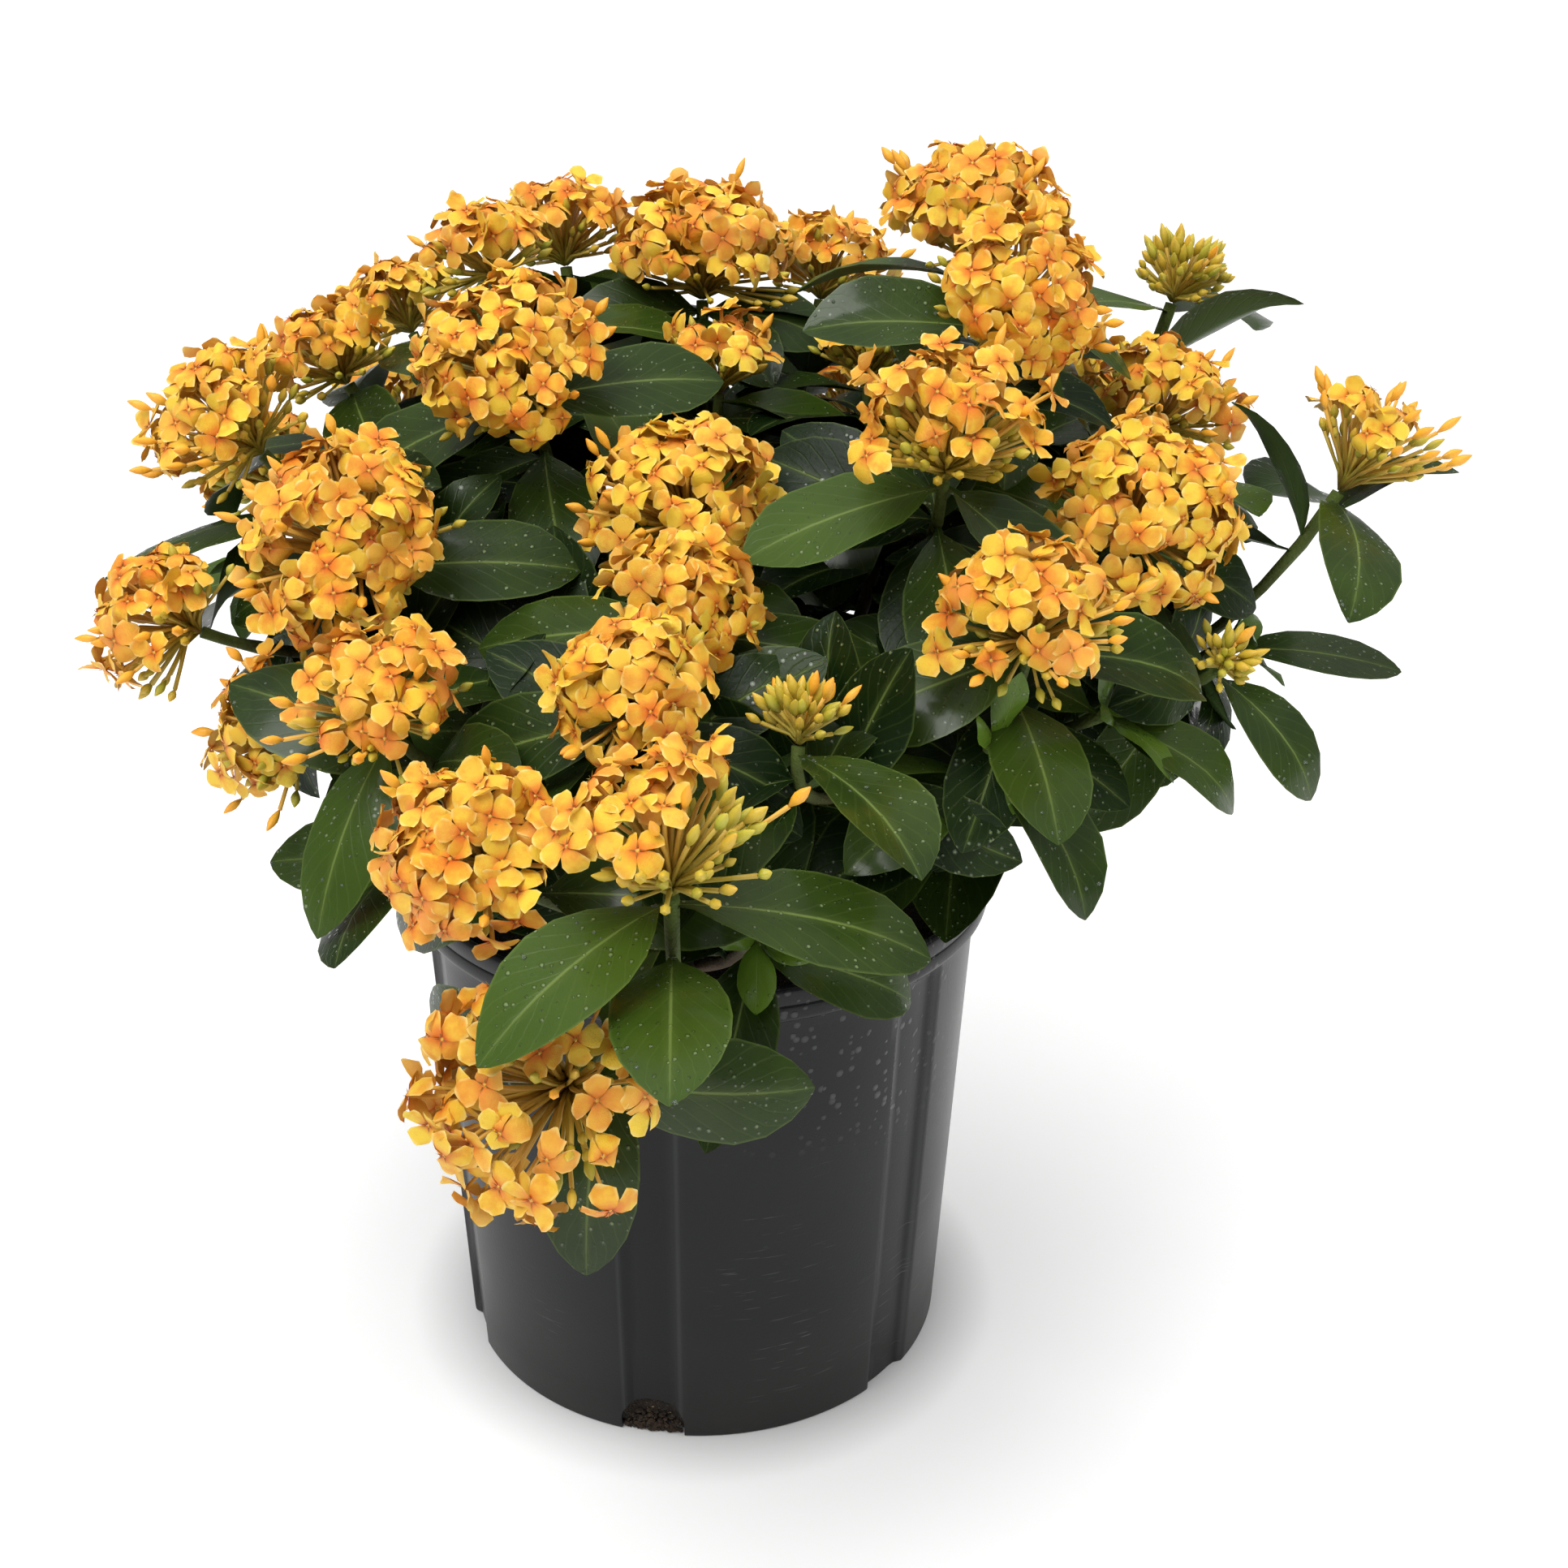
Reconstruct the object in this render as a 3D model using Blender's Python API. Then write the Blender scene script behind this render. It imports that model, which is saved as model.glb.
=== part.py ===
# Ixora in a nursery pot: a fluted plastic pot, its soil, eighteen leafy stems that stand in the soil,
# and the flower heads that end them. Metres, +Z up, origin at the centre of the pot's underside.

import math
import random

import bmesh
import bpy
from mathutils import Matrix, Vector
from mathutils.bvhtree import BVHTree

CM = 0.01
MM = 0.001
GAP = 0.3 * MM  # between pieces that touch

# Pot
POT_HEIGHT = 0.250
LIP_RADIUS = 0.135
LIP_HEIGHT = 0.017
LIP_ROUND = 2.5 * MM
WALL_TOP_RADIUS = 0.1290
BASE_RADIUS = 0.1180
WALL = 1.8 * MM
FLUTES = 6
FLUTE_TURN = math.radians(-102)  # where the first flute is, seen from above
FLUTE_ARC = math.radians(13)
FLUTE_DEPTH = 3 * MM
PLAIN_STEPS = 4  # facets between two flutes
DRAIN_WIDTH = 0.030
DRAIN_HEIGHT = 0.019
DRAIN_SHOULDER = 0.35  # where its round top starts, as a share of its height
DRAIN_STEPS = 6
DRAIN_DEPTH = 0.019  # in from the foot's edge
DRAIN_SPARE = 8 * MM
DRAIN_EVERY = 2  # one flute in two has a drain hole

# Soil
SOIL_TOP = 0.229
SOIL_CROWN = 6 * MM
STEM_DEPTH = 0.035
HOLE_SPARE = 3 * MM  # a stem's hole is this much deeper than the stem

# Stems, from the soil to a head
STEM_FOOT_RADIUS = 4.6 * MM
STEM_TIP_RADIUS = 2.7 * MM
START_LEAN = 0.25  # how much a stem leans outward where it comes up, as a slope
SOIL_SPREAD = 0.27  # a stem's place in the soil, as a share of its head's distance from the middle
NODE_HEIGHT = 6.5 * MM  # the stretch of stem that a pair of leaves grows from
PAIR_SPACING = 24 * MM
FORK_HEIGHT = 8 * MM

# Leaves
LEAF_LENGTH = 0.087
LEAF_WIDTH = 0.039
LEAF_THICKNESS = 0.9 * MM
LEAF_STATIONS = ((0.17, 0.66), (0.45, 1.0), (0.77, 0.74))  # along the blade, share of the width
PLAIN_STATIONS = ((0.30, 0.92), (0.72, 0.82))  # of leaves lower down
YOUNG = 0.86  # size of the leaves of a shoot with no flowers
LEVELLING = math.radians(30)  # how far a leaf turns towards the level on a stem that leans
CROWN_FOOT = 0.245  # no leaf hangs lower than this at the pot's lip, or than the slope from there out
CROWN_SLOPE = 0.55
HANGING_STEMS = {"12"}
FALLEN = {("08", 1, 2, 0), ("15", 0, 5, 3)}  # missing leaves: stem, shoot, segment, side
CLEAR_THICKNESS = 2.2 * MM  # the room that a blade needs
CLEAR_EDGE = 0.8 * MM

# Florets and buds, larger than life because a head has only a dozen
TUBE_END = 0.88  # from the middle of the head, as a share of its radius
PETAL_REACH = 0.345
PETAL_END = 0.115
PETAL_LIFT = 0.5 * MM
NECK_RADIUS = 3.0 * MM
THROAT_RISE = 1.5 * MM
BUD_RADIUS = 2.3 * MM
BUD_LENGTHS = (0.94, 1.16)
BUD_POINT = 0.26

# Flower heads: place of the head's middle in cm, the way it leans and how far from upright in
# degrees (0 is +X, -90 is the front), its radius in mm, how far it has opened, and the way that
# the first leaf under it points.
HEADS = {
    "01": ((11.9, 4.0, 53.0), 40, 10, 42, "full", 160),
    "02": ((12.9, -4.0, 51.4), -60, 45, 36, "full", 0),
    "03": ((22.3, 9.0, 49.8), 10, 15, 28, "bud", 45),
    "04": ((0.2, 10.0, 50.4), 90, 5, 43, "full", 10),
    "05": ((6.3, 15.5, 48.8), 60, 25, 34, "half", 100),
    "06": ((-6.5, 14.5, 50.6), 110, 20, 34, "half", 150),
    "07": ((-9.3, 6.0, 51.3), 170, 15, 29, "half", 70),
    "08": ((-14.0, 11.5, 47.7), 140, 35, 29, "half", 90),
    "09": ((-16.2, 4.6, 47.0), 175, 30, 30, "half", 100),
    "10": ((-7.5, -4.0, 48.9), -110, 35, 41, "full", 190),
    "11": ((-19.0, -3.5, 46.2), -165, 40, 38, "full", -40),
    "12": ((-13.6, -10.5, 43.6), -120, 45, 44, "full", 0),
    "13": ((-21.0, -9.5, 40.0), -155, 60, 33, "full", -90),
    "14": ((-16.5, -12.5, 36.5), -140, 70, 30, "full", 175),
    "15": ((-11.5, -19.0, 40.3), -110, 35, 32, "full", 60),
    "16": ((1.0, 2.5, 47.2), 0, 5, 28, "open", -15),
    "17": ((7.5, 4.5, 47.2), 100, 10, 28, "open", 170),
    "18": ((9.4, -11.3, 47.7), -85, 20, 41, "open", 185),
    "19": ((20.9, 3.8, 45.1), -60, 15, 35, "half", 20),
    "20": ((17.6, -8.0, 43.7), -70, 50, 42, "full", -15),
    "21": ((28.2, -2.0, 44.3), 5, 28, 36, "open", 90),
    "22": ((-0.6, -7.5, 43.9), -95, 35, 41, "full", 200),
    "23": ((-0.6, -14.8, 42.4), -80, 35, 29, "full", -10),
    "24": ((-2.4, -20.6, 41.3), -105, 40, 31, "full", 200),
    "25": ((3.6, -19.5, 39.8), 60, 15, 20, "tight", -60),
    "26": ((12.0, -17.0, 42.5), -95, 35, 36, "half", 185),
    "27": ((-7.7, -24.5, 37.2), -120, 45, 34, "full", -110),
    "28": ((-1.0, -28.0, 38.8), -90, 15, 39, "open", 180),
    "29": ((-5.2, -28.6, 30.0), -115, 80, 42, "open", -20),
    "30": ((21.1, -10.5, 38.5), -60, 40, 15, "tight", -40),
    "31": ((19.5, 16.5, 42.5), 50, 35, 37, "full", 60),
    "32": ((8.5, 22.5, 40.5), 75, 40, 37, "half", 120),
    "33": ((-5.5, 23.0, 41.0), 110, 40, 37, "full", 30),
    "34": ((1.0, 26.5, 33.5), 90, 65, 35, "half", 90),
    "35": ((-15.5, 18.0, 40.5), 130, 50, 36, "full", 45),
    "36": ((-21.0, 11.0, 40.0), 155, 55, 34, "half", 90),
}

# Leafy stems: the head that the stem ends in, the head on its side shoot, and in cm where its
# leafy shoot with no flowers ends.
STEMS = {
    "01": ("04", "16", (3.5, 9.0, 41.0)),
    "02": ("01", "17", (14.0, 2.5, 43.5)),
    "03": ("02", "18", (13.5, 0.5, 39.0)),
    "04": ("10", "22", (-5.5, -12.0, 38.0)),
    "05": ("06", "07", (-8.5, 12.5, 41.5)),
    "06": ("05", "32", (11.0, 16.0, 34.0)),
    "07": ("09", "36", (-19.0, 2.5, 38.0)),
    "08": ("11", "13", (-13.8, -5.5, 37.0)),
    "09": ("12", "14", (-9.5, -8.5, 35.0)),
    "10": ("27", "15", (-11.5, -16.5, 33.0)),
    "11": ("23", "24", (3.2, -11.0, 36.0)),
    "12": ("28", "29", (2.0, -21.5, 32.0)),
    "13": ("26", "25", (11.0, -16.5, 37.5)),
    "14": ("20", "30", (16.0, -12.5, 37.0)),
    "15": ("21", "19", (23.0, -3.5, 36.5)),
    "16": ("03", "31", (21.5, 8.5, 36.5)),
    "17": ("33", "34", (-5.0, 18.5, 32.5)),
    "18": ("35", "08", (-15.0, 12.5, 33.0)),
}

LEAF_GREEN = (0.030, 0.095, 0.018)
PETAL_ORANGE = (0.95, 0.48, 0.05)
POT_BLACK = (0.018, 0.018, 0.019)
SOIL_BROWN = (0.045, 0.030, 0.020)


def material(name, colour, roughness):
    made = bpy.data.materials.new(name)
    made.use_nodes = True
    shader = made.node_tree.nodes["Principled BSDF"]
    shader.inputs["Base Color"].default_value = (*colour, 1)
    shader.inputs["Roughness"].default_value = roughness
    shader.inputs["Metallic"].default_value = 0.0
    return made


def add_object(name, bm, look=None):
    bmesh.ops.recalc_face_normals(bm, faces=bm.faces[:])
    mesh = bpy.data.meshes.new(name)
    bm.to_mesh(mesh)
    bm.free()
    if look:
        mesh.materials.append(look)
    made = bpy.data.objects.new(name, mesh)
    bpy.context.scene.collection.objects.link(made)
    return made


def shade(made, angle):
    made.data.shade_smooth()
    made.data.set_sharp_from_angle(angle=math.radians(angle))


# Plan of the plant. Everything below works out where the stems, heads and leaves are, before
# anything is modelled.


def leaning(heading, tilt):
    heading, tilt = math.radians(heading), math.radians(tilt)
    return Vector((math.sin(tilt) * math.cos(heading), math.sin(tilt) * math.sin(heading), math.cos(tilt)))


def head_plan(name):
    place, heading, tilt, radius, kind, leaf_heading = HEADS[name]
    axis = leaning(heading, tilt)
    middle = Vector(place) * CM
    radius *= MM
    return {"name": name, "axis": axis, "radius": radius, "kind": kind, "middle": middle,
            "base": middle - axis * 0.45 * radius, "leaf_way": leaning(leaf_heading, 90)}


# The room of a head, as a turned outline: distance from the axis and height over the base, in radii.
HEAD_ROOM = ((0.12, -0.01), (0.55, 0.04), (1.0, 0.14), (1.08, 0.5), (0.9, 1.08), (0.45, 1.42), (0.02, 1.52))
ROOM_SIDES = 10


def turned_room(base, axis, radius):
    side = axis.orthogonal().normalized()
    other = axis.cross(side)
    points = []
    for out, up in HEAD_ROOM:
        for step in range(ROOM_SIDES):
            angle = 2 * math.pi * step / ROOM_SIDES
            spoke = side * math.cos(angle) + other * math.sin(angle)
            points.append(base + (spoke * out + axis * up) * radius)
    faces = []
    for ring in range(len(HEAD_ROOM) - 1):
        for step in range(ROOM_SIDES):
            following = (step + 1) % ROOM_SIDES
            low, high = ring * ROOM_SIDES, (ring + 1) * ROOM_SIDES
            faces.append((low + step, low + following, high + following, high + step))
    return points, faces


def along(path, share):
    """Point and direction on a cubic Bezier path."""
    a, b, c, d = path
    rest = 1 - share
    point = a * rest**3 + b * 3 * rest**2 * share + c * 3 * rest * share**2 + d * share**3
    way = (b - a) * rest**2 + (c - b) * 2 * rest * share + (d - c) * share**2
    return point, way.normalized()


def path_between(start, start_way, end, end_way, pull=0.42):
    reach = (end - start).length * pull
    return (start, start + start_way * reach, end - end_way * reach, end)


def path_length(path, steps=24):
    points = [along(path, step / steps)[0] for step in range(steps + 1)]
    return sum((b - a).length for a, b in zip(points, points[1:]))


def rings_along(path, shares, radii, across):
    """Square rings of four corners at these shares of a path, each turned as little as it can be
    from the one above. across is the way that side 0 faces at the last one."""
    rings = []
    for share, radius in zip(reversed(shares), reversed(radii)):
        point, way = along(path, share)
        across = (across - way * across.dot(way)).normalized()
        other = way.cross(across)
        corners = [(1, -1), (1, 1), (-1, 1), (-1, -1)]
        half = radius * math.sqrt(0.5)
        rings.insert(0, [point + (across * u + other * v) * half for u, v in corners])
    return rings


def facet_of(rings, segment, side):
    low, high = rings[segment], rings[segment + 1]
    side, following = side % 4, (side + 1) % 4
    return [low[side], low[following], high[following], high[side]]


def facet_out(facet):
    """Middle of a facet, the way it faces, and the way up the stem."""
    middle = sum(facet, Vector()) / 4
    up = ((facet[2] + facet[3]) - (facet[0] + facet[1])).normalized()
    across = (facet[1] - facet[0]).normalized()
    return middle, across.cross(up), up


def best_side(rings, segment, towards):
    """The side of this segment that faces a place most nearly."""
    def facing(side):
        middle, out, _ = facet_out(facet_of(rings, segment, side))
        return out.dot((towards - middle).normalized())
    return max(range(4), key=facing)


def stem_plan(name):
    """The main stem, its side shoot to a second head and its leafy shoot, as rings of corners."""
    first, second, leafy_end = STEMS[name]
    main, side = head_plan(first), head_plan(second)
    leafy_end = Vector(leafy_end) * CM
    foot = Vector((main["base"].x, main["base"].y, 0)) * SOIL_SPREAD
    foot.z = SOIL_TOP - STEM_DEPTH
    outward = Vector((main["base"].x, main["base"].y, 0))
    outward = outward.normalized() if outward.length > 2 * CM else Vector((0, 1, 0))
    start_way = (Vector((0, 0, 1)) + outward * START_LEAN).normalized()
    end = main["base"] - main["axis"] * GAP
    path = path_between(foot, start_way, end, main["axis"])
    length = path_length(path)
    node = NODE_HEIGHT / length
    fork = FORK_HEIGHT / length
    low_fork, high_fork = 0.40, 0.60
    lower_pair = 1 - node - PAIR_SPACING / length
    shares = [0, low_fork, low_fork + fork, high_fork, high_fork + fork,
              lower_pair, lower_pair + node, 1 - node, 1]
    radii = [STEM_FOOT_RADIUS + (STEM_TIP_RADIUS - STEM_FOOT_RADIUS) * share for share in shares]
    rings = rings_along(path, shares, radii, main["leaf_way"])
    shoots = [{"rings": rings, "pairs": [(7, 0), (5, 1)], "flowers": True}]
    for segment, end, end_way, leaf_way, flowers in (
        (3, side["base"] - side["axis"] * GAP, side["axis"], side["leaf_way"], True),
        (1, leafy_end, (leafy_end - Vector((0, 0, SOIL_TOP))).normalized(), outward, False),
    ):
        facing = best_side(rings, segment, end)
        start, out, up = facet_out(facet_of(rings, segment, facing))
        path = path_between(start, (out + up).normalized(), end, end_way, 0.36)
        length = path_length(path)
        node = NODE_HEIGHT / length
        lower_pair = 1 - node - PAIR_SPACING / length
        shares = [lower_pair, lower_pair + node, 1 - node, 1]
        if lower_pair > 0.45:
            shares.insert(0, 0.3)
        radii = [STEM_TIP_RADIUS * (1.15 - 0.15 * share) for share in shares]
        twig = rings_along(path, shares, radii, leaf_way)
        facet = facet_of(rings, segment, facing)
        turn = min(range(4), key=lambda turn: sum((twig[0][(turn + k) % 4] - facet[k]).length for k in range(4)))
        twig = [facet] + [[ring[(turn + k) % 4] for k in range(4)] for ring in twig]
        last = len(shares) - 1
        shoots.append({"rings": twig, "pairs": [(last, -turn), (last - 2, 1 - turn)], "flowers": flowers})
    return {"name": name, "shoots": shoots, "heads": (main, side)}


def blade_rings(leaf, thickness, spare=0.0):
    """Rings of four corners along a leaf that arches in one plane, and its tip."""
    rings = []
    for share, width in leaf["stations"]:
        middle, _, over = blade_at(leaf, share)
        half = leaf["side"] * (leaf["width"] * width / 2 + spare)
        lift = over * thickness / 2
        rings.append([middle - half - lift, middle + half - lift, middle + half + lift, middle - half + lift])
    tip, way, _ = blade_at(leaf, 1.0)
    return rings, tip + way * spare


def blade_at(leaf, share):
    """Point on the midrib, the way it runs and the way the upper face looks."""
    pitch, droop = leaf["pitch"], leaf["droop"]
    here = pitch - droop * share
    out = (math.sin(pitch) - math.sin(here)) / droop
    up = (math.cos(here) - math.cos(pitch)) / droop
    point = leaf["root"] + (leaf["out"] * out + leaf["up"] * up) * leaf["length"]
    way = leaf["out"] * math.cos(here) + leaf["up"] * math.sin(here)
    over = leaf["up"] * math.cos(here) - leaf["out"] * math.sin(here)
    return point, way, over


def room_of(rings, tip):
    """The faces round a chain of rings, closed by a tip or by a flat end."""
    points = [corner for ring in rings for corner in ring]
    faces = [(3, 2, 1, 0)]
    for ring in range(len(rings) - 1):
        for side in range(4):
            following = (side + 1) % 4
            low, high = ring * 4, ring * 4 + 4
            faces.append((low + side, low + following, high + following, high + side))
    last = len(rings) * 4 - 4
    if tip is None:
        faces.append((last, last + 1, last + 2, last + 3))
    else:
        points.append(tip)
        faces += [(last + side, last + (side + 1) % 4, len(points) - 1) for side in range(4)]
    return points, faces


def taken(points, faces, owner):
    """A piece of room that is taken, with a ball round it for a quick first test."""
    middle = sum(points, Vector()) / len(points)
    reach = max((point - middle).length for point in points)
    return {"tree": BVHTree.FromPolygons(points, faces), "middle": middle, "reach": reach, "owner": owner}


def clear_of(points, faces, room, skip=None):
    mine = taken(points, faces, None)
    for other in room:
        if other["owner"] == skip and skip is not None:
            continue
        if (other["middle"] - mine["middle"]).length > other["reach"] + mine["reach"]:
            continue
        if mine["tree"].overlap(other["tree"]):
            return False
    return True


# What a leaf tries in turn until it is clear: a swing sideways and a change of pitch, in degrees,
# and a share of its length.
TRIES = sorted(
    ((swing, pitch, size) for swing in (0, 14, -14, 28, -28, 42, -42) for pitch in (0, -14, 14, -28, 26, -42, 40)
     for size in (1.0, 0.86, 0.72)),
    key=lambda tried: abs(tried[0]) + abs(tried[1]) * 0.8 + (1 - tried[2]) * 150,
)


def hangs_out(point):
    """Whether a point is lower than the crown's underside."""
    return point.z < CROWN_FOOT + max(0, point.xy.length - LIP_RADIUS) * CROWN_SLOPE


def leaf_plan(facet, draw, stations, grown, stem, room):
    """A leaf on this facet of a stem, swung, lifted or shortened until it is clear of everything."""
    root, out, up = facet_out(facet)
    length = LEAF_LENGTH * grown * draw.uniform(0.86, 1.08)
    width = LEAF_WIDTH * grown * draw.uniform(0.9, 1.08)
    level = max(-LEVELLING, min(LEVELLING, -math.asin(out.z)))
    pitch = math.radians(draw.uniform(-4, 20)) + level
    droop = math.radians(draw.uniform(25, 55))
    for swing, lift, size in TRIES:
        turned = Matrix.Rotation(math.radians(swing), 3, up) @ out
        leaf = {"root": root, "out": turned, "up": up, "side": up.cross(turned).normalized(), "stations": stations,
                "pitch": pitch + math.radians(lift), "droop": droop, "length": length * size,
                "width": width * (0.3 + 0.7 * size), "facet": facet}
        rings, tip = blade_rings(leaf, CLEAR_THICKNESS, CLEAR_EDGE)
        if hangs_out(tip) and stem not in HANGING_STEMS:
            continue
        points, faces = room_of(rings, tip)
        if not clear_of(points, faces, room):
            continue
        root_ring = [corner + turned * GAP for corner in facet]
        points_in, faces_in = room_of([root_ring, rings[0]], None)
        if not clear_of(points_in, faces_in, room, stem):
            continue
        room.append(taken(points, faces, stem + " leaf"))
        room.append(taken(points_in, faces_in, stem))
        return leaf
    return None


def pot_room():
    """The pot and its soil as one closed turned shape, a little fuller than they are."""
    outline = ((0.0, -MM), (BASE_RADIUS + MM, -MM), (WALL_TOP_RADIUS + MM, POT_HEIGHT - LIP_HEIGHT),
               (LIP_RADIUS + MM, POT_HEIGHT - LIP_HEIGHT - MM), (LIP_RADIUS + MM, POT_HEIGHT + MM),
               (WALL_TOP_RADIUS - 3 * MM, POT_HEIGHT + MM), (WALL_TOP_RADIUS - 3 * MM, SOIL_TOP + 3 * MM),
               (0.0, SOIL_TOP + SOIL_CROWN + 3 * MM))
    sides = 24
    points, faces = [], []
    for radius, height in outline:
        for step in range(sides):
            angle = 2 * math.pi * step / sides
            points.append(Vector((radius * math.cos(angle), radius * math.sin(angle), height)))
    for ring in range(len(outline) - 1):
        for step in range(sides):
            following = (step + 1) % sides
            low, high = ring * sides, (ring + 1) * sides
            faces.append((low + step, low + following, high + following, high + step))
    return points, faces


def plant_plan():
    """Every stem with its heads and its leaves. Stems and heads take their room first, then the
    leaves of the outermost pairs, and then the lower pairs."""
    room = [taken(*pot_room(), "pot")]
    stems = [stem_plan(name) for name in STEMS]
    for stem in stems:
        for head in stem["heads"]:
            room.append(taken(*turned_room(head["base"], head["axis"], head["radius"]), "head"))
        for shoot in stem["shoots"]:
            for low, high in zip(shoot["rings"], shoot["rings"][1:]):
                room.append(taken(*room_of([low, high], None), stem["name"]))
            shoot["leaves"] = []
    draws = {stem["name"]: random.Random(100 + int(stem["name"])) for stem in stems}
    for pair in range(2):
        for shoot_number in range(3):
            for stem in stems:
                shoot = stem["shoots"][shoot_number]
                segment, side = shoot["pairs"][pair]
                for facing in (side, side + 2):
                    if (stem["name"], shoot_number, segment, facing) in FALLEN:
                        continue
                    facet = facet_of(shoot["rings"], segment, facing)
                    stations = LEAF_STATIONS if shoot["flowers"] and pair == 0 else PLAIN_STATIONS
                    size = 1.0 if shoot["flowers"] else YOUNG
                    leaf = leaf_plan(facet, draws[stem["name"]], stations, size, stem["name"], room)
                    if leaf:
                        shoot["leaves"].append((segment, facing, leaf))
    return stems


# Solids of the plant


def first_segment(bm, low, high):
    lower = [bm.verts.new(corner) for corner in low]
    upper = [bm.verts.new(corner) for corner in high]
    bm.faces.new(lower[::-1])
    for side in range(4):
        following = (side + 1) % 4
        bm.faces.new((lower[side], lower[following], upper[following], upper[side]))
    return bm.faces.new(upper)


def close_to(bm, cap, tip):
    """Closes a face's ring to a point."""
    bmesh.ops.poke(bm, faces=[cap])["verts"][0].co = tip


def extend(bm, cap, corners):
    """Draws a face out to four new corners, in the order of its own."""
    cap = bmesh.ops.extrude_discrete_faces(bm, faces=[cap])["faces"][0]
    for vert, corner in zip(cap.verts, corners):
        vert.co = corner
    return cap


def face_at(bm, corners):
    """The face that has these four corners."""
    middle = sum(corners, Vector()) / 4
    return min(bm.faces, key=lambda face: (face.calc_center_median() - middle).length_squared)


def in_order_of(face, corners, rings):
    """The rings with their corners put in the order of a face's own."""
    order = [min(range(4), key=lambda k: (corners[k] - vert.co).length_squared) for vert in face.verts]
    return [[ring[k] for k in order] for ring in rings]


def grow_leaf(bm, leaf):
    cap = face_at(bm, leaf["facet"])
    rings, tip = blade_rings(leaf, LEAF_THICKNESS)
    for ring in in_order_of(cap, leaf["facet"], rings):
        cap = extend(bm, cap, ring)
    close_to(bm, cap, tip)


def grow_shoot(bm, rings):
    cap = face_at(bm, rings[0])
    for ring in in_order_of(cap, rings[0], rings[1:]):
        cap = extend(bm, cap, ring)


def leafy_stem(stem, look):
    bm = bmesh.new()
    rings = stem["shoots"][0]["rings"]
    cap = first_segment(bm, rings[0], rings[1])
    for ring in rings[2:]:
        cap = extend(bm, cap, ring)
    for shoot in stem["shoots"][1:]:
        grow_shoot(bm, shoot["rings"])
    for shoot in stem["shoots"]:
        for _, _, leaf in shoot["leaves"]:
            grow_leaf(bm, leaf)
    return add_object("leafy_stem_" + stem["name"], bm, look)


# How a head's twelve upper facets are used, by how far it has opened: which of the top four and of
# the eight below them bear a floret or a bud, and the size of the core as a share of the head.
OPENING = {
    "full": ("FFFF", "FFFFFBFF", 0.60),
    "half": ("FBFF", "FBFFBFBF", 0.50),
    "open": ("BFBF", "BFFBFBFB", 0.30),
    "bud": ("BBFB", "BBBFBBBB", 0.40),
    "tight": ("BBBB", "-B-B-B-B", 0.45),
}
ROUND_PETALS = {"10", "12", "18", "20", "22", "26", "28", "29"}


def ring_round(face, middle, out, radius):
    """A face's corners, moved to this distance round a middle, square to the way out."""
    ring = []
    for vert in face.verts:
        spoke = vert.co - middle
        ring.append(middle + (spoke - out * spoke.dot(out)).normalized() * radius)
    return ring


def grow_petal(bm, left, right, throat, ends):
    """A petal in place of one side of a tube's open mouth: its underside, its two edges and, where
    it ends in an edge and not in a point, its top."""
    bm.faces.new((left, right, *reversed(ends)))
    bm.faces.new((right, throat, ends[-1]))
    bm.faces.new((left, ends[0], throat))
    if len(ends) == 2:
        bm.faces.new((throat, *ends))


def grow_floret(bm, facet, out, head):
    """Draws a facet of the core out to a tube that ends in four flat petals."""
    radius = head["radius"]
    mouth = head["middle"] + out * TUBE_END * radius
    tube = extend(bm, facet, ring_round(facet, mouth, out, NECK_RADIUS))
    corners = tube.verts[:]
    bmesh.ops.delete(bm, geom=[tube], context="FACES_ONLY")
    throat = bm.verts.new(mouth + out * THROAT_RISE)
    for left, right in zip(corners, corners[1:] + corners[:1]):
        way = ((left.co + right.co) / 2 - mouth).normalized()
        end = mouth + way * PETAL_REACH * radius + out * PETAL_LIFT
        across = (right.co - left.co).normalized() * PETAL_END * radius
        places = [end - across, end + across] if head["name"] in ROUND_PETALS else [end]
        grow_petal(bm, left, right, throat, [bm.verts.new(place) for place in places])


def grow_bud(bm, facet, out, head, draw):
    """Draws a facet of the core out to a slim tube with a pointed end."""
    length = draw.uniform(*BUD_LENGTHS) * head["radius"]
    neck = head["middle"] + out * (length - BUD_POINT * head["radius"])
    cap = extend(bm, facet, ring_round(facet, neck, out, BUD_RADIUS))
    close_to(bm, cap, head["middle"] + out * length)


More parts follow.
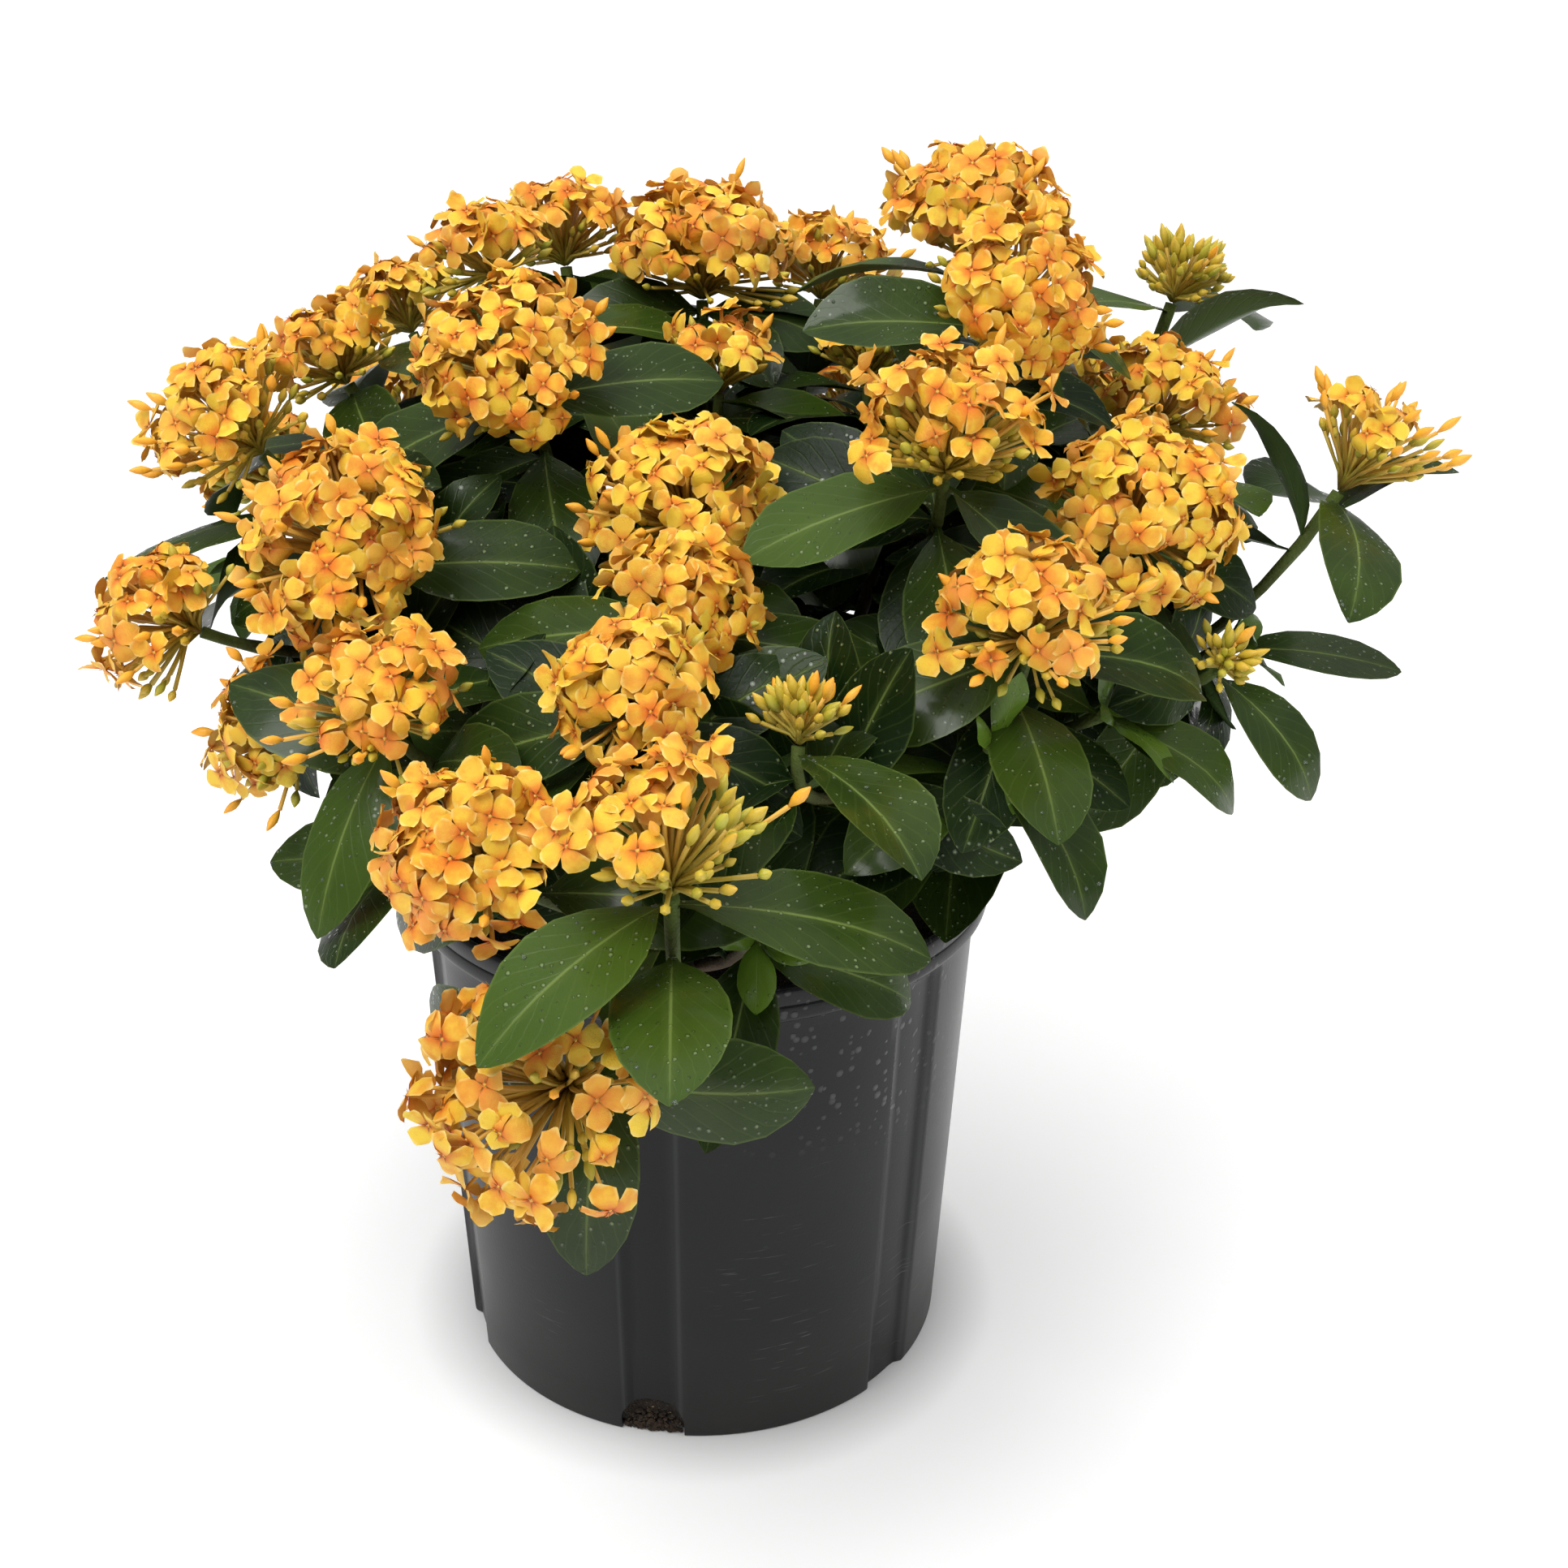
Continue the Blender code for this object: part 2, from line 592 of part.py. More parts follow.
def flower_head(head, look):
    """A cube of four facets a side is rounded to the core. Its underside is drawn down to the
    stem, and its upper facets are drawn out to florets and buds."""
    top, below, core = OPENING[head["kind"]]
    draw = random.Random(200 + int(head["name"]))
    bm = bmesh.new()
    bmesh.ops.create_cube(bm, size=2)
    bmesh.ops.subdivide_edges(bm, edges=bm.edges[:], cuts=1, use_grid_fill=True)
    pole = min(bm.verts, key=lambda vert: (vert.co - Vector((0, 0, -1))).length)
    bmesh.ops.dissolve_verts(bm, verts=[pole])
    tops = [face for face in bm.faces if face.calc_center_median().z > 0.9]
    belows = [face for face in bm.faces if 0.2 < face.calc_center_median().z < 0.9]
    spin = Matrix.Rotation(draw.uniform(0, math.pi / 2), 3, "Z")
    turned = head["axis"].to_track_quat("Z", "Y").to_matrix() @ spin
    for vert in bm.verts:
        way = vert.co.normalized()
        if way.z < -0.1:
            ring = Vector((way.x, way.y, 0)).normalized() * STEM_TIP_RADIUS
            vert.co = head["base"] + turned @ ring
        else:
            vert.co = head["middle"] + turned @ (way * core * head["radius"])
    for face, grown in list(zip(tops, top)) + list(zip(belows, below)):
        out = (face.calc_center_median() - head["middle"]).normalized()
        if grown == "F":
            grow_floret(bm, face, out, head)
        elif grown == "B":
            grow_bud(bm, face, out, head, draw)
    return add_object("flower_head_" + head["name"], bm, look)


# Pot and soil


def around():
    """Angles of the pot's columns, each with how deep the wall is set in there."""
    columns = []
    plain_arc = 2 * math.pi / FLUTES - FLUTE_ARC
    for flute in range(FLUTES):
        middle = FLUTE_TURN + 2 * math.pi * flute / FLUTES
        columns += [(middle - FLUTE_ARC / 2, 0.0), (middle - FLUTE_ARC / 5, 1.0), (middle + FLUTE_ARC / 5, 1.0)]
        for step in range(PLAIN_STEPS):
            columns.append((middle + FLUTE_ARC / 2 + plain_arc * step / PLAIN_STEPS, 0.0))
    return columns


def turned_shell(outline):
    """Turns an outline of (radius, height, share of the flutes' depth) round the columns."""
    bm = bmesh.new()
    rings = []
    for radius, height, fluted in outline:
        ring = []
        for angle, depth in around():
            here = radius - FLUTE_DEPTH * depth * fluted
            ring.append(bm.verts.new((here * math.cos(angle), here * math.sin(angle), height)))
        rings.append(ring)
    for low, high in zip(rings, rings[1:]):
        for step in range(len(low)):
            following = (step + 1) % len(low)
            bm.faces.new((low[step], low[following], high[following], high[step]))
    bm.faces.new(rings[0])
    bm.faces.new(rings[-1])
    return bm


def wall_radius(height):
    """Radius of the outside of the wall at a height."""
    share = height / (POT_HEIGHT - LIP_HEIGHT)
    return BASE_RADIUS + (WALL_TOP_RADIUS - BASE_RADIUS) * share


def drain_cutter(number):
    """A round-topped block through the foot of one flute, wall and floor."""
    bm = bmesh.new()
    arch = [(-DRAIN_WIDTH / 2, -DRAIN_SPARE), (DRAIN_WIDTH / 2, -DRAIN_SPARE)]
    shoulder = DRAIN_HEIGHT * DRAIN_SHOULDER
    for step in range(DRAIN_STEPS + 1):
        angle = math.pi * step / DRAIN_STEPS
        arch.append((DRAIN_WIDTH / 2 * math.cos(angle), shoulder + (DRAIN_HEIGHT - shoulder) * math.sin(angle)))
    flat = bm.faces.new([bm.verts.new((across, 0, height)) for across, height in arch])
    drawn = bmesh.ops.extrude_face_region(bm, geom=[flat])["geom"]
    moved = [item for item in drawn if isinstance(item, bmesh.types.BMVert)]
    bmesh.ops.translate(bm, verts=moved, vec=(0, DRAIN_DEPTH + DRAIN_SPARE, 0))
    angle = FLUTE_TURN + 2 * math.pi * number / FLUTES
    place = Matrix.Rotation(angle - math.pi / 2, 4, "Z") @ Matrix.Translation((0, BASE_RADIUS - DRAIN_DEPTH, 0))
    bmesh.ops.transform(bm, matrix=place, verts=bm.verts[:])
    return add_object("drain_cutter", bm)


def cut(made, cutters):
    """Cuts these objects out of one, and removes them."""
    for cutter in cutters:
        modifier = made.modifiers.new("cut", "BOOLEAN")
        modifier.operation = "DIFFERENCE"
        modifier.object = cutter
        modifier.solver = "EXACT"
    graph = bpy.context.evaluated_depsgraph_get()
    mesh = bpy.data.meshes.new_from_object(made.evaluated_get(graph))
    made.modifiers.clear()
    made.data = mesh
    for cutter in cutters:
        bpy.data.objects.remove(cutter)


def pot(look):
    lip_foot = POT_HEIGHT - LIP_HEIGHT
    outline = [
        (BASE_RADIUS, 0.0, 1.0),
        (WALL_TOP_RADIUS, lip_foot - LIP_ROUND, 1.0),
        (LIP_RADIUS - LIP_ROUND / 2, lip_foot, 0.0),
        (LIP_RADIUS, POT_HEIGHT - LIP_ROUND, 0.0),
        (LIP_RADIUS - LIP_ROUND, POT_HEIGHT, 0.0),
        (LIP_RADIUS - 2 * LIP_ROUND, POT_HEIGHT - LIP_ROUND, 0.0),
        (WALL_TOP_RADIUS - WALL, lip_foot - 3 * LIP_ROUND, 1.0),
        (BASE_RADIUS - WALL, WALL, 1.0),
    ]
    made = add_object("pot", turned_shell(outline), look)
    cut(made, [drain_cutter(number) for number in range(0, FLUTES, DRAIN_EVERY)])
    shade(made, 35)
    return made


def stem_hole(stem):
    """A square hole a little wider than a stem, down to where the stem ends."""
    bm = bmesh.new()
    rings = stem["shoots"][0]["rings"]
    foot = sum(rings[0], Vector()) / 4
    way = (sum(rings[1], Vector()) / 4 - foot).normalized()
    across = rings[0][0] - rings[0][3]
    wide = STEM_FOOT_RADIUS + 3 * GAP
    path = (foot - way * HOLE_SPARE, foot, foot + way * STEM_DEPTH, foot + way * 2 * STEM_DEPTH)
    hole = rings_along(path, (0, 1), (wide, wide), across)
    first_segment(bm, hole[0], hole[1])
    return add_object("stem_hole", bm)


def soil(stems, look):
    """Fills the pot to a little under its lip, crowned in the middle, with a hole for each stem."""
    clear = WALL + 2 * GAP
    edge = SOIL_TOP - SOIL_CROWN
    outline = [
        (BASE_RADIUS - clear, WALL + GAP, 1.0),
        (wall_radius(edge) - clear, edge, 1.0),
        (wall_radius(edge) * 0.78, SOIL_TOP, 0.0),
    ]
    bm = turned_shell(outline)
    top = max(bm.faces, key=lambda face: face.calc_center_median().z)
    close_to(bm, top, Vector((0, 0, SOIL_TOP + SOIL_CROWN)))
    made = add_object("soil", bm, look)
    cut(made, [stem_hole(stem) for stem in stems])
    return made


def main():
    for old in list(bpy.data.objects):
        bpy.data.objects.remove(old)
    leaf_look = material("leaf", LEAF_GREEN, 0.42)
    petal_look = material("petal", PETAL_ORANGE, 0.55)
    pot_look = material("pot", POT_BLACK, 0.38)
    soil_look = material("soil", SOIL_BROWN, 0.95)
    stems = plant_plan()
    pot(pot_look)
    soil(stems, soil_look)
    for stem in stems:
        leafy_stem(stem, leaf_look)
        for head in stem["heads"]:
            flower_head(head, petal_look)


main()
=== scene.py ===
# Ixora in a black nursery pot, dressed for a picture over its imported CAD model.
# The plant is planned by the same rule as the solids, so each fine leaf and flower head
# lies where its solid does. Metres, +Z up, the front of the plant looks along -Y.
import math
import random

import bpy
import numpy as np
from mathutils import Matrix, Vector, noise
from mathutils.bvhtree import BVHTree


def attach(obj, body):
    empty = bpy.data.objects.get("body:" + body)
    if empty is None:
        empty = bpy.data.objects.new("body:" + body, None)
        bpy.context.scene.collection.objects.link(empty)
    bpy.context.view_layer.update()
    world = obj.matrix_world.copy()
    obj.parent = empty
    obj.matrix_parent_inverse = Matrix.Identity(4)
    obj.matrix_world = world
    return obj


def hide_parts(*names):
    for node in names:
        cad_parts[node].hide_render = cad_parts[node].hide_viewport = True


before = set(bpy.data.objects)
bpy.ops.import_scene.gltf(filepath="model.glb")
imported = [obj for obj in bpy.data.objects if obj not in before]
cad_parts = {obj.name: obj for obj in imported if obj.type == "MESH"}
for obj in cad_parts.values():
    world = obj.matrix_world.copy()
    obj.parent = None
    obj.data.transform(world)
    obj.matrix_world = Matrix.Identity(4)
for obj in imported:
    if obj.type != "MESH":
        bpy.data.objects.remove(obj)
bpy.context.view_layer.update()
cm = 0.01
mm = 0.001
gap = 0.3 * mm
print("frame loaded,", len(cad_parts), "nodes")

# each flower head: middle in cm, heading and tilt in degrees, radius in mm, how far it is open,
# and the heading of the first leaf under it
headTable = {
    "01": ((11.9, 4.0, 53.0), 40, 10, 42, "full", 160),
    "02": ((12.9, -4.0, 51.4), -60, 45, 36, "full", 0),
    "03": ((22.3, 9.0, 49.8), 10, 15, 28, "bud", 45),
    "04": ((0.2, 10.0, 50.4), 90, 5, 43, "full", 10),
    "05": ((6.3, 15.5, 48.8), 60, 25, 34, "half", 100),
    "06": ((-6.5, 14.5, 50.6), 110, 20, 34, "half", 150),
    "07": ((-9.3, 6.0, 51.3), 170, 15, 29, "half", 70),
    "08": ((-14.0, 11.5, 47.7), 140, 35, 29, "half", 90),
    "09": ((-16.2, 4.6, 47.0), 175, 30, 30, "half", 100),
    "10": ((-7.5, -4.0, 48.9), -110, 35, 41, "full", 190),
    "11": ((-19.0, -3.5, 46.2), -165, 40, 38, "full", -40),
    "12": ((-13.6, -10.5, 43.6), -120, 45, 44, "full", 0),
    "13": ((-21.0, -9.5, 40.0), -155, 60, 33, "full", -90),
    "14": ((-16.5, -12.5, 36.5), -140, 70, 30, "full", 175),
    "15": ((-11.5, -19.0, 40.3), -110, 35, 32, "full", 60),
    "16": ((1.0, 2.5, 47.2), 0, 5, 28, "open", -15),
    "17": ((7.5, 4.5, 47.2), 100, 10, 28, "open", 170),
    "18": ((9.4, -11.3, 47.7), -85, 20, 41, "open", 185),
    "19": ((20.9, 3.8, 45.1), -60, 15, 35, "half", 20),
    "20": ((17.6, -8.0, 43.7), -70, 50, 42, "full", -15),
    "21": ((28.2, -2.0, 44.3), 5, 28, 36, "open", 90),
    "22": ((-0.6, -7.5, 43.9), -95, 35, 41, "full", 200),
    "23": ((-0.6, -14.8, 42.4), -80, 35, 29, "full", -10),
    "24": ((-2.4, -20.6, 41.3), -105, 40, 31, "full", 200),
    "25": ((3.6, -19.5, 39.8), 60, 15, 20, "tight", -60),
    "26": ((12.0, -17.0, 42.5), -95, 35, 36, "half", 185),
    "27": ((-7.7, -24.5, 37.2), -120, 45, 34, "full", -110),
    "28": ((-1.0, -28.0, 38.8), -90, 15, 39, "open", 180),
    "29": ((-5.2, -28.6, 30.0), -115, 80, 42, "open", -20),
    "30": ((21.1, -10.5, 38.5), -60, 40, 15, "tight", -40),
    "31": ((19.5, 16.5, 42.5), 50, 35, 37, "full", 60),
    "32": ((8.5, 22.5, 40.5), 75, 40, 37, "half", 120),
    "33": ((-5.5, 23.0, 41.0), 110, 40, 37, "full", 30),
    "34": ((1.0, 26.5, 33.5), 90, 65, 35, "half", 90),
    "35": ((-15.5, 18.0, 40.5), 130, 50, 36, "full", 45),
    "36": ((-21.0, 11.0, 40.0), 155, 55, 34, "half", 90),
}

# each leafy stem: the head it ends in, the head of its side shoot, the end in cm of its leafy shoot
stemTable = {
    "01": ("04", "16", (3.5, 9.0, 41.0)),
    "02": ("01", "17", (14.0, 2.5, 43.5)),
    "03": ("02", "18", (13.5, 0.5, 39.0)),
    "04": ("10", "22", (-5.5, -12.0, 38.0)),
    "05": ("06", "07", (-8.5, 12.5, 41.5)),
    "06": ("05", "32", (11.0, 16.0, 34.0)),
    "07": ("09", "36", (-19.0, 2.5, 38.0)),
    "08": ("11", "13", (-13.8, -5.5, 37.0)),
    "09": ("12", "14", (-9.5, -8.5, 35.0)),
    "10": ("27", "15", (-11.5, -16.5, 33.0)),
    "11": ("23", "24", (3.2, -11.0, 36.0)),
    "12": ("28", "29", (2.0, -21.5, 32.0)),
    "13": ("26", "25", (11.0, -16.5, 37.5)),
    "14": ("20", "30", (16.0, -12.5, 37.0)),
    "15": ("21", "19", (23.0, -3.5, 36.5)),
    "16": ("03", "31", (21.5, 8.5, 36.5)),
    "17": ("33", "34", (-5.0, 18.5, 32.5)),
    "18": ("35", "08", (-15.0, 12.5, 33.0)),
}

planSettings = {
    "footRadius": 4.6 * mm,
    "tipRadius": 2.7 * mm,
    "startLean": 0.25,
    "soilSpread": 0.27,
    "stemDepth": 0.035,
    "nodeHeight": 6.5 * mm,
    "pairSpacing": 24 * mm,
    "forkHeight": 8 * mm,
    "leafLength": 0.087,
    "leafWidth": 0.039,
    "topStations": ((0.17, 0.66), (0.45, 1.0), (0.77, 0.74)),
    "lowStations": ((0.30, 0.92), (0.72, 0.82)),
    "youngSize": 0.86,
    "levelling": math.radians(30),
    "crownFoot": 0.245,
    "crownSlope": 0.55,
    "hangingStems": {"12"},  # their leaves may hang below the crown
    "fallen": {("08", 1, 2, 0), ("15", 0, 5, 3)},  # leaves left out, by stem, shoot, segment and side
    "clearThickness": 2.2 * mm,
    "clearEdge": 0.8 * mm,
    "headRoom": ((0.12, -0.01), (0.55, 0.04), (1.0, 0.14), (1.08, 0.5), (0.9, 1.08), (0.45, 1.42),
                 (0.02, 1.52)),
    "roomSides": 10,
    "headBase": 0.45,  # from the middle of a head down to its stem, in its radius
    "forks": (0.40, 0.60),  # shares of the stem's length
    "twigSwell": 0.15,
    "lowTwig": 0.3,  # a long side shoot has one more ring at this share
    # what each leaf draws: factors of its length and width, and degrees
    "lengths": (0.86, 1.08),
    "widths": (0.9, 1.08),
    "pitches": (-4, 20),
    "droops": (25, 55),
}

potSettings = {
    "height": 0.250,
    "lipRadius": 0.135,
    "lipHeight": 0.017,
    "wallTop": 0.129,
    "base": 0.118,
    "wall": 1.8 * mm,
    "flutes": 6,
    "fluteTurn": math.radians(-102),
    "fluteArc": math.radians(13),
    "fluteDepth": 3 * mm,
    "columns": 216,
    "drainWidth": 0.030,
    "drainHeight": 0.019,
    "drainShoulder": 0.35,
    "drainDepth": 0.019,
    "drainEvery": 2,
    "roundBase": 0.109,  # flutes lie outside this radius
    "fluteTop": 0.2312,
    "fluteFade": 4 * mm,
    "wallHeights": (0.020, 0.06, 0.11, 0.16, 0.20, 0.222, 0.2288),
    # the lip, as distances in from its radius and heights, in mm
    "lipShape": ((4.2, 231.8), (1.6, 232.6), (0.4, 233.8), (0, 235.6), (0, 240.0), (0.5, 240.8),
                 (0.1, 241.7), (0, 246.2), (0.35, 248.3), (1.1, 249.4), (2.3, 250.0), (3.5, 249.6),
                 (4.5, 248.4), (5.0, 246.6)),
}

soilSettings = {
    "top": 0.229,
    "crown": 6 * mm,
    "rough": 2.2 * mm,
    "topScale": 48.0,
    "footScale": 90.0,
    "sideHeights": (0.008, 0.013, 0.018, 0.024, 0.06, 0.12, 0.18, 0.215),
    "columns": 132,
    "rings": 14,
    "crumbs": 420,
    "chips": 60,
    "crumbReach": 0.119,
    "crumbSize": (1.0, 3.4),  # in mm
    "paleShare": 0.10,
    "dent": 0.18,
}


def leaning(heading, tilt):
    heading, tilt = math.radians(heading), math.radians(tilt)
    return Vector((math.sin(tilt) * math.cos(heading), math.sin(tilt) * math.sin(heading), math.cos(tilt)))


def headPlan(name):
    place, heading, tilt, radius, kind, leafHeading = headTable[name]
    axis = leaning(heading, tilt)
    middle = Vector(place) * cm
    radius *= mm
    return {"name": name, "axis": axis, "radius": radius, "kind": kind, "middle": middle,
            "base": middle - axis * planSettings["headBase"] * radius, "leafWay": leaning(leafHeading, 90)}


def turnedRoom(head):
    side = head["axis"].orthogonal().normalized()
    other = head["axis"].cross(side)
    sides = planSettings["roomSides"]
    outline = planSettings["headRoom"]
    points = []
    for out, up in outline:
        for step in range(sides):
            angle = 2 * math.pi * step / sides
            spoke = side * math.cos(angle) + other * math.sin(angle)
            points.append(head["base"] + (spoke * out + head["axis"] * up) * head["radius"])
    return points, ringFaces(len(outline), sides)


def ringFaces(rings, sides):
    faces = []
    for ring in range(rings - 1):
        for step in range(sides):
            following = (step + 1) % sides
            low, high = ring * sides, (ring + 1) * sides
            faces.append((low + step, low + following, high + following, high + step))
    return faces


def along(path, share):
    # point and direction on a cubic Bezier
    a, b, c, d = path
    rest = 1 - share
    point = a * rest**3 + b * 3 * rest**2 * share + c * 3 * rest * share**2 + d * share**3
    way = (b - a) * rest**2 + (c - b) * 2 * rest * share + (d - c) * share**2
    return point, way.normalized()


def pathBetween(start, startWay, end, endWay, pull=0.42):
    reach = (end - start).length * pull
    return (start, start + startWay * reach, end - endWay * reach, end)


def pathLength(path, steps=24):
    points = [along(path, step / steps)[0] for step in range(steps + 1)]
    return sum((b - a).length for a, b in zip(points, points[1:]))


def ringsAlong(path, shares, radii, across):
    corners = ((1, -1), (1, 1), (-1, 1), (-1, -1))
    rings = []
    for share, radius in zip(reversed(shares), reversed(radii)):
        point, way = along(path, share)
        across = (across - way * across.dot(way)).normalized()
        other = way.cross(across)
        half = radius * math.sqrt(0.5)
        rings.insert(0, [point + (across * u + other * v) * half for u, v in corners])
    return rings


def facetOf(rings, segment, side):
    low, high = rings[segment], rings[segment + 1]
    side, following = side % 4, (side + 1) % 4
    return [low[side], low[following], high[following], high[side]]


def facetOut(facet):
    middle = sum(facet, Vector()) / 4
    up = ((facet[2] + facet[3]) - (facet[0] + facet[1])).normalized()
    across = (facet[1] - facet[0]).normalized()
    return middle, across.cross(up), up


def bestSide(rings, segment, towards):
    def facing(side):
        middle, out, _ = facetOut(facetOf(rings, segment, side))
        return out.dot((towards - middle).normalized())
    return max(range(4), key=facing)


def stemPlan(name):
    s = planSettings
    first, second, leafyEnd = stemTable[name]
    main, side = headPlan(first), headPlan(second)
    leafyEnd = Vector(leafyEnd) * cm
    foot = Vector((main["base"].x, main["base"].y, 0)) * s["soilSpread"]
    foot.z = soilSettings["top"] - s["stemDepth"]
    outward = Vector((main["base"].x, main["base"].y, 0))
    outward = outward.normalized() if outward.length > 2 * cm else Vector((0, 1, 0))
    startWay = (Vector((0, 0, 1)) + outward * s["startLean"]).normalized()
    path = pathBetween(foot, startWay, main["base"] - main["axis"] * gap, main["axis"])
    length = pathLength(path)
    node = s["nodeHeight"] / length
    fork = s["forkHeight"] / length
    lowerPair = 1 - node - s["pairSpacing"] / length
    low, high = s["forks"]
    shares = [0, low, low + fork, high, high + fork, lowerPair, lowerPair + node, 1 - node, 1]
    radii = [s["footRadius"] + (s["tipRadius"] - s["footRadius"]) * share for share in shares]
    rings = ringsAlong(path, shares, radii, main["leafWay"])
    shoots = [{"rings": rings, "pairs": [(7, 0), (5, 1)], "flowers": True, "path": path,
               "radii": (s["footRadius"], s["tipRadius"]),
               "nodes": (1 - node / 2, lowerPair + node / 2, low + 0.01, high + 0.01)}]
    # the side shoot with flowers leaves the upper fork, and the leafy one the lower fork
    for segment, end, endWay, leafWay, flowers in (
        (3, side["base"] - side["axis"] * gap, side["axis"], side["leafWay"], True),
        (1, leafyEnd, (leafyEnd - Vector((0, 0, soilSettings["top"]))).normalized(), outward, False),
    ):
        facing = bestSide(rings, segment, end)
        start, out, up = facetOut(facetOf(rings, segment, facing))
        path = pathBetween(start, (out + up).normalized(), end, endWay, 0.36)
        length = pathLength(path)
        node = s["nodeHeight"] / length
        lowerPair = 1 - node - s["pairSpacing"] / length
        shares = [lowerPair, lowerPair + node, 1 - node, 1]
        if lowerPair > 1.5 * s["lowTwig"]:
            shares.insert(0, s["lowTwig"])
        radii = [s["tipRadius"] * (1 + s["twigSwell"] - s["twigSwell"] * share) for share in shares]
        twig = ringsAlong(path, shares, radii, leafWay)
        facet = facetOf(rings, segment, facing)
        misfits = [sum((twig[0][(turn + k) % 4] - facet[k]).length for k in range(4)) for turn in range(4)]
        turn = misfits.index(min(misfits))
        twig = [facet] + [[ring[(turn + k) % 4] for k in range(4)] for ring in twig]
        last = len(shares) - 1
        shoots.append({"rings": twig, "pairs": [(last, -turn), (last - 2, 1 - turn)], "flowers": flowers,
                       "path": path, "radii": (s["tipRadius"] * (1 + s["twigSwell"]), s["tipRadius"]),
                       "nodes": (1 - node / 2, lowerPair + node / 2)})
    return {"name": name, "shoots": shoots, "heads": (main, side)}


def bladeAt(leaf, share):
    pitch, droop = leaf["pitch"], leaf["droop"]
    here = pitch - droop * share
    out = (math.sin(pitch) - math.sin(here)) / droop
    up = (math.cos(here) - math.cos(pitch)) / droop
    point = leaf["root"] + (leaf["out"] * out + leaf["up"] * up) * leaf["length"]
    way = leaf["out"] * math.cos(here) + leaf["up"] * math.sin(here)
    over = leaf["up"] * math.cos(here) - leaf["out"] * math.sin(here)
    return point, way, over


def bladeRings(leaf, thickness, spare=0.0):
    rings = []
    for share, width in leaf["stations"]:
        middle, _, over = bladeAt(leaf, share)
        half = leaf["side"] * (leaf["width"] * width / 2 + spare)
        lift = over * thickness / 2
        left, right = middle - half, middle + half
        rings.append([left - lift, right - lift, right + lift, left + lift])
    tip, way, _ = bladeAt(leaf, 1.0)
    return rings, tip + way * spare


def roomOf(rings, tip):
    points = [corner for ring in rings for corner in ring]
    faces = [(3, 2, 1, 0)] + ringFaces(len(rings), 4)
    last = len(rings) * 4 - 4
    if tip is None:
        faces.append((last, last + 1, last + 2, last + 3))
    else:
        points.append(tip)
        faces += [(last + side, last + (side + 1) % 4, len(points) - 1) for side in range(4)]
    return points, faces


def taken(points, faces, owner):
    middle = sum(points, Vector()) / len(points)
    reach = max((point - middle).length for point in points)
    return {"tree": BVHTree.FromPolygons(points, faces), "middle": middle, "reach": reach, "owner": owner}


def clearOf(points, faces, room, skip=None):
    mine = taken(points, faces, None)
    for other in room:
        if other["owner"] == skip and skip is not None:
            continue
        if (other["middle"] - mine["middle"]).length > other["reach"] + mine["reach"]:
            continue
        if mine["tree"].overlap(other["tree"]):
            return False
    return True


# turns sideways and up or down in degrees, and sizes, that a leaf tries in this order until it is clear
leafTries = sorted(
    ((swing, pitch, size)
     for swing in (0, 14, -14, 28, -28, 42, -42)
     for pitch in (0, -14, 14, -28, 26, -42, 40)
     for size in (1.0, 0.86, 0.72)),
    key=lambda tried: abs(tried[0]) + abs(tried[1]) * 0.8 + (1 - tried[2]) * 150,
)


def hangsOut(point):
    s = planSettings
    return point.z < s["crownFoot"] + max(0, point.xy.length - potSettings["lipRadius"]) * s["crownSlope"]


def leafPlan(facet, draw, stations, grown, stem, room):
    s = planSettings
    root, out, up = facetOut(facet)
    length = s["leafLength"] * grown * draw.uniform(*s["lengths"])
    width = s["leafWidth"] * grown * draw.uniform(*s["widths"])
    level = max(-s["levelling"], min(s["levelling"], -math.asin(out.z)))
    pitch = math.radians(draw.uniform(*s["pitches"])) + level
    droop = math.radians(draw.uniform(*s["droops"]))
    for swing, lift, size in leafTries:
        turned = Matrix.Rotation(math.radians(swing), 3, up) @ out
        leaf = {"root": root, "out": turned, "up": up, "side": up.cross(turned).normalized(),
                "stations": stations, "pitch": pitch + math.radians(lift), "droop": droop,
                "length": length * size, "width": width * (0.3 + 0.7 * size)}
        rings, tip = bladeRings(leaf, s["clearThickness"], s["clearEdge"])
        if hangsOut(tip) and stem not in s["hangingStems"]:
            continue
        points, faces = roomOf(rings, tip)
        if not clearOf(points, faces, room):
            continue
        pointsIn, facesIn = roomOf([[corner + turned * gap for corner in facet], rings[0]], None)
        if not clearOf(pointsIn, facesIn, room, stem):
            continue
        room.append(taken(points, faces, stem + " leaf"))
        room.append(taken(pointsIn, facesIn, stem))
        return leaf
    return None


def potRoom():
    p = potSettings
    lipFoot = p["height"] - p["lipHeight"]
    wallTop, lip = p["wallTop"], p["lipRadius"]
    outline = ((0.0, -mm), (p["base"] + mm, -mm), (wallTop + mm, lipFoot), (lip + mm, lipFoot - mm),
               (lip + mm, p["height"] + mm), (wallTop - 3 * mm, p["height"] + mm),
               (wallTop - 3 * mm, soilSettings["top"] + 3 * mm),
               (0.0, soilSettings["top"] + soilSettings["crown"] + 3 * mm))
    sides = 24
    points = []
    for radius, height in outline:
        for step in range(sides):
            angle = 2 * math.pi * step / sides
            points.append(Vector((radius * math.cos(angle), radius * math.sin(angle), height)))
    return points, ringFaces(len(outline), sides)


